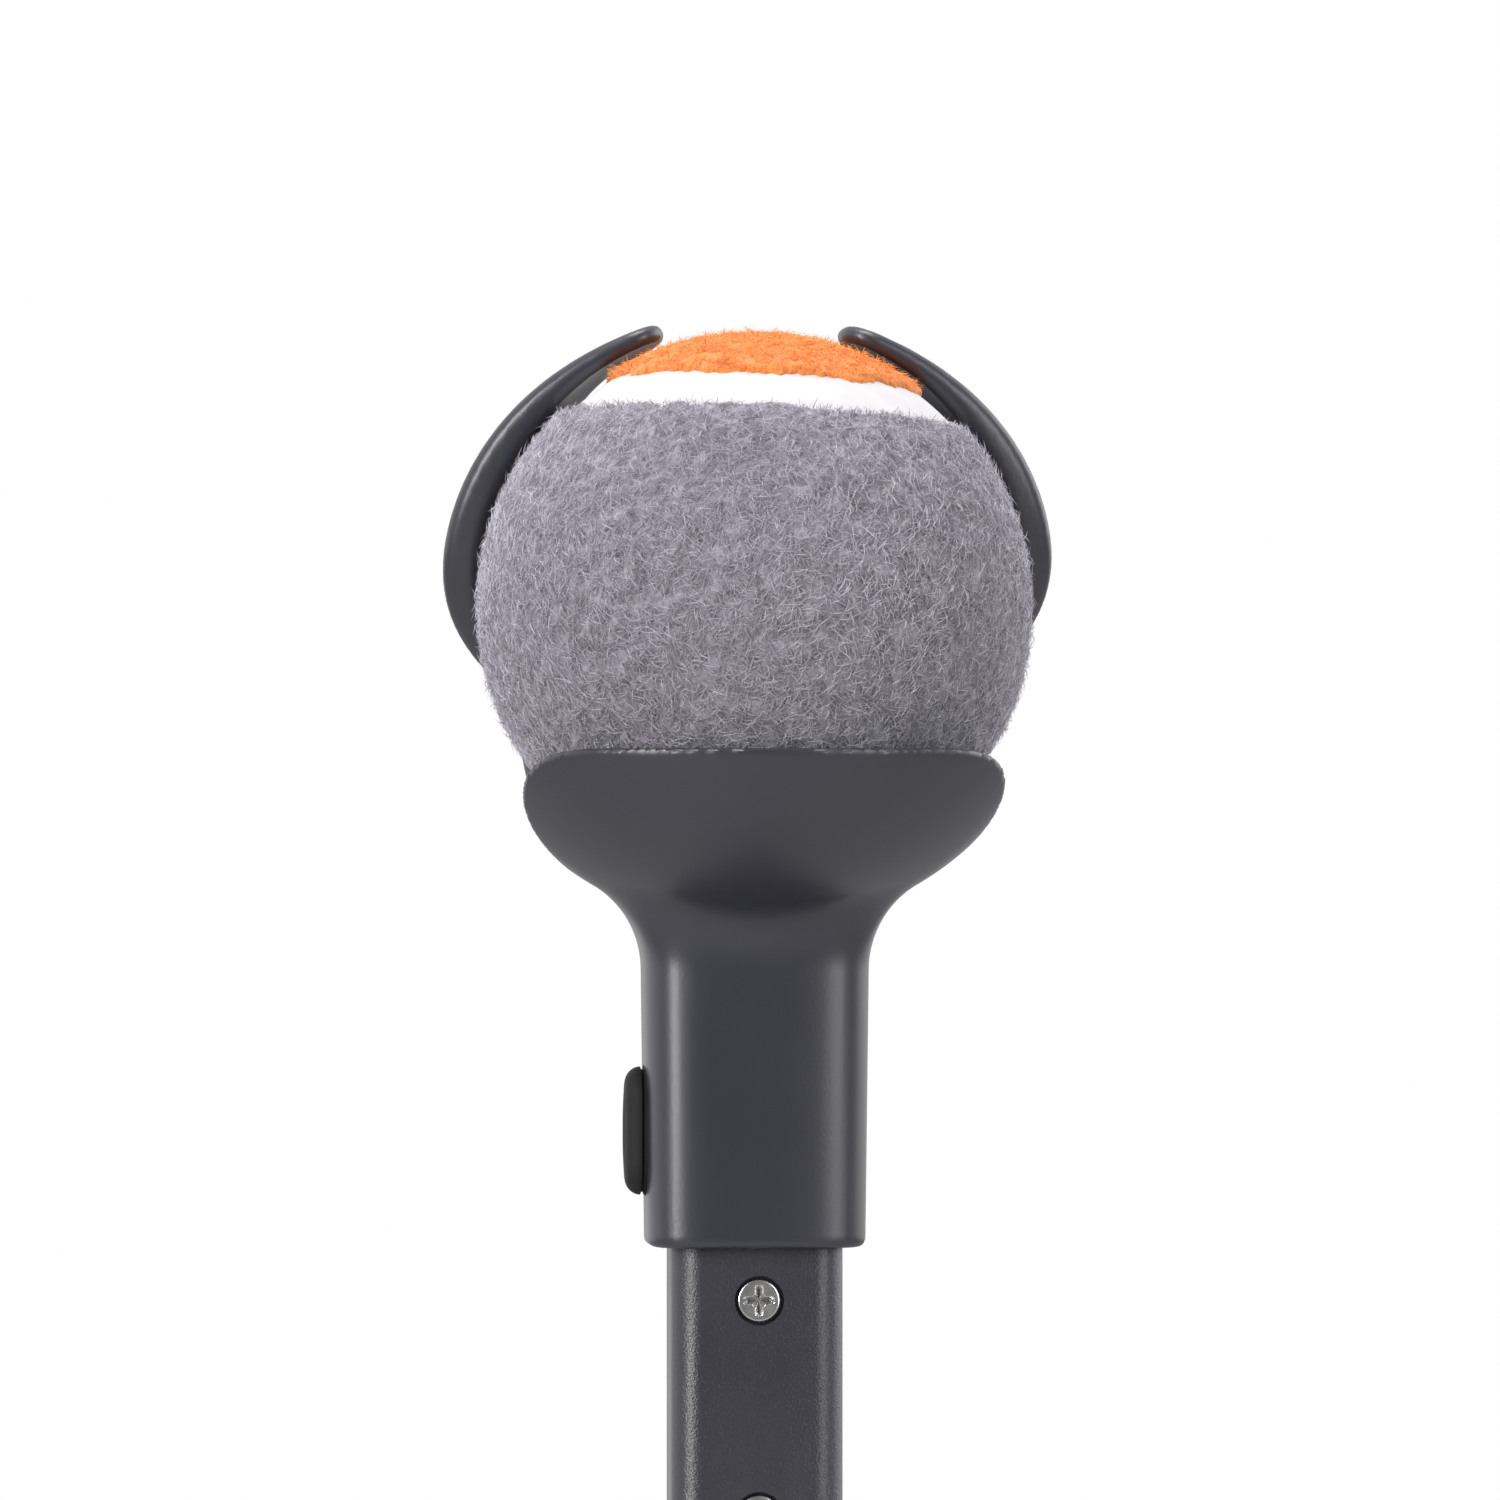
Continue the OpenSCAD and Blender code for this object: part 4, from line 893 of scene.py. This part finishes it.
felt_grey = woolly("grey felt", (0.18, 0.172, 0.199), (0.40, 0.382, 0.44), False)
grey_fibre = woolly("grey fibre", (0.225, 0.214, 0.248), (0.58, 0.555, 0.63), True)
felt_orange = woolly("orange felt", (0.66, 0.17, 0.032), (0.84, 0.31, 0.08), False)
orange_fibre = woolly("orange fibre", (0.70, 0.2, 0.042), (0.88, 0.37, 0.112), True)
placed(felt("grey_felt_cover", -90, band_low, 300), felt_grey, "ball", "felt_grey", "ball_felt_grey")
for letter in "abcde":
    grey_nap = nap("grey_nap_" + letter, 19500, -90, band_low)
    placed(grey_nap, grey_fibre, "ball", "felt_grey")
placed(felt("orange_felt_cover", 90, band_high, 90), felt_orange, "ball", "felt_orange", "ball_felt_orange")
orange_nap = nap("orange_nap", 8000, band_high, 90, length=1.4)
placed(orange_nap, orange_fibre, "ball", "felt_orange")
band_white = finish_of("white band", (0.51, 0.50, 0.515), (0.55, 0.54, 0.555), (0.8, 0.9),
                       patch=4, grain=0.5, depth=0.05)


def band_grid():
    """Closed ring: an outer face on the band's radius, tucked under the two felts' edges, and an inner
    face on the core."""
    low, high = band_low - band_tuck, band_high + band_tuck
    lat = np.concatenate([np.linspace(low, high, 40), np.linspace(high, low, 6)])
    lon = np.linspace(0, 360, 360, endpoint=False)
    radius = np.concatenate([np.full(40, band_r), np.full(6, core_r)])[:, None, None]
    return (on_ball(lat[:, None], lon) * radius) @ pole_turn.T + ball_place


placed(skin("white_band", band_grid(), loop=True), band_white, "ball", "band_white", "ball_seam")


# Stage, light and camera: a studio with a pale floor and a white background that is darker on the camera's
# side. A narrow softbox stands front left and wide ones front right, behind right and overhead. The
# camera looks level at the ball from a little left of the front.
scene = bpy.context.scene
scene.view_settings.view_transform = "Standard"
ground = prism("ground", round_outline(2500, 96), cap_bottom - 20, cap_bottom)
dressed(ground, finish_of("pale floor", (0.38, 0.38, 0.38), (0.40, 0.40, 0.40), (0.8, 0.9),
                          patch=90, grain=9, depth=0))
world = bpy.data.worlds.new("white studio")
scene.world = world
world.use_nodes = True
tree = world.node_tree
glow = tree.nodes["Background"]
way = added(tree, "ShaderNodeTexCoord")
axes = added(tree, "ShaderNodeSeparateXYZ")
from_front = added(tree, "ShaderNodeMapRange", **{"From Min": -1})
brightness = added(tree, "ShaderNodeValToRGB")
for stop, bright in ((0.0, 0.2), (0.3, 0.3), (0.5, 0.85), (0.62, 1.2)):
    mark = brightness.color_ramp.elements.new(stop)
    mark.color = (bright, bright, bright * 1.02, 1)
brightness.color_ramp.elements.remove(brightness.color_ramp.elements[0])
backdrop = added(tree, "ShaderNodeBackground", Color=(1, 1, 1, 1))
seen = added(tree, "ShaderNodeLightPath")
mix = added(tree, "ShaderNodeMixShader")
linked(tree, (way.outputs["Generated"], axes.inputs["Vector"]),
       (axes.outputs["Y"], from_front.inputs["Value"]),
       (from_front.outputs["Result"], brightness.inputs["Fac"]),
       (brightness.outputs["Color"], glow.inputs["Color"]),
       (seen.outputs["Is Camera Ray"], mix.inputs["Fac"]),
       (glow.outputs["Background"], mix.inputs[1]), (backdrop.outputs["Background"], mix.inputs[2]),
       (mix.outputs["Shader"], tree.nodes["World Output"].inputs["Surface"]))

# Each softbox has its angle from the front, its distance and height, its width and length, and its power
aim = Vector((0, 0, 0.47))
for name, azimuth, far, height_m, wide, tall, power in (
        ("key softbox", -48, 1.1, 0.75, 0.14, 0.9, 11.5),
        ("fill softbox", 40, 1.1, 0.65, 0.4, 0.8, 4.7),
        ("side softbox", 112, 1.1, 0.85, 1.0, 0.8, 4.6),
        ("top softbox", -10, 0.25, 1.7, 0.7, 0.7, 13.0)):
    lamp = bpy.data.lights.new(name, "AREA")
    lamp.shape = "RECTANGLE"
    lamp.size, lamp.size_y, lamp.energy = wide, tall, power
    lamp_object = bpy.data.objects.new(name, lamp)
    turn = np.radians(azimuth)
    lamp_object.location = (far * np.sin(turn), -far * np.cos(turn), height_m)
    lamp_object.rotation_euler = (aim - lamp_object.location).to_track_quat("-Z", "Y").to_euler()
    lamp_object.visible_camera = False
    scene.collection.objects.link(lamp_object)

# The picture is view_wide metres across at the ball
view_far, view_wide, view_height, view_aside, view_turn = 1.2, 0.17442, 0.4996, -0.00052, np.radians(-5)
camera = bpy.data.cameras.new("photo camera")
camera.sensor_width, camera.clip_start = 36, 0.05
camera.lens = camera.sensor_width * view_far / view_wide
camera_object = bpy.data.objects.new("photo camera", camera)
right = np.array([np.cos(view_turn), np.sin(view_turn), 0])
toward = np.array([np.sin(view_turn), -np.cos(view_turn), 0])
camera_object.location = view_far * toward + (0, 0, view_height) + view_aside * right
camera_object.rotation_euler = (np.pi / 2, 0, view_turn)
scene.collection.objects.link(camera_object)
scene.camera = camera_object
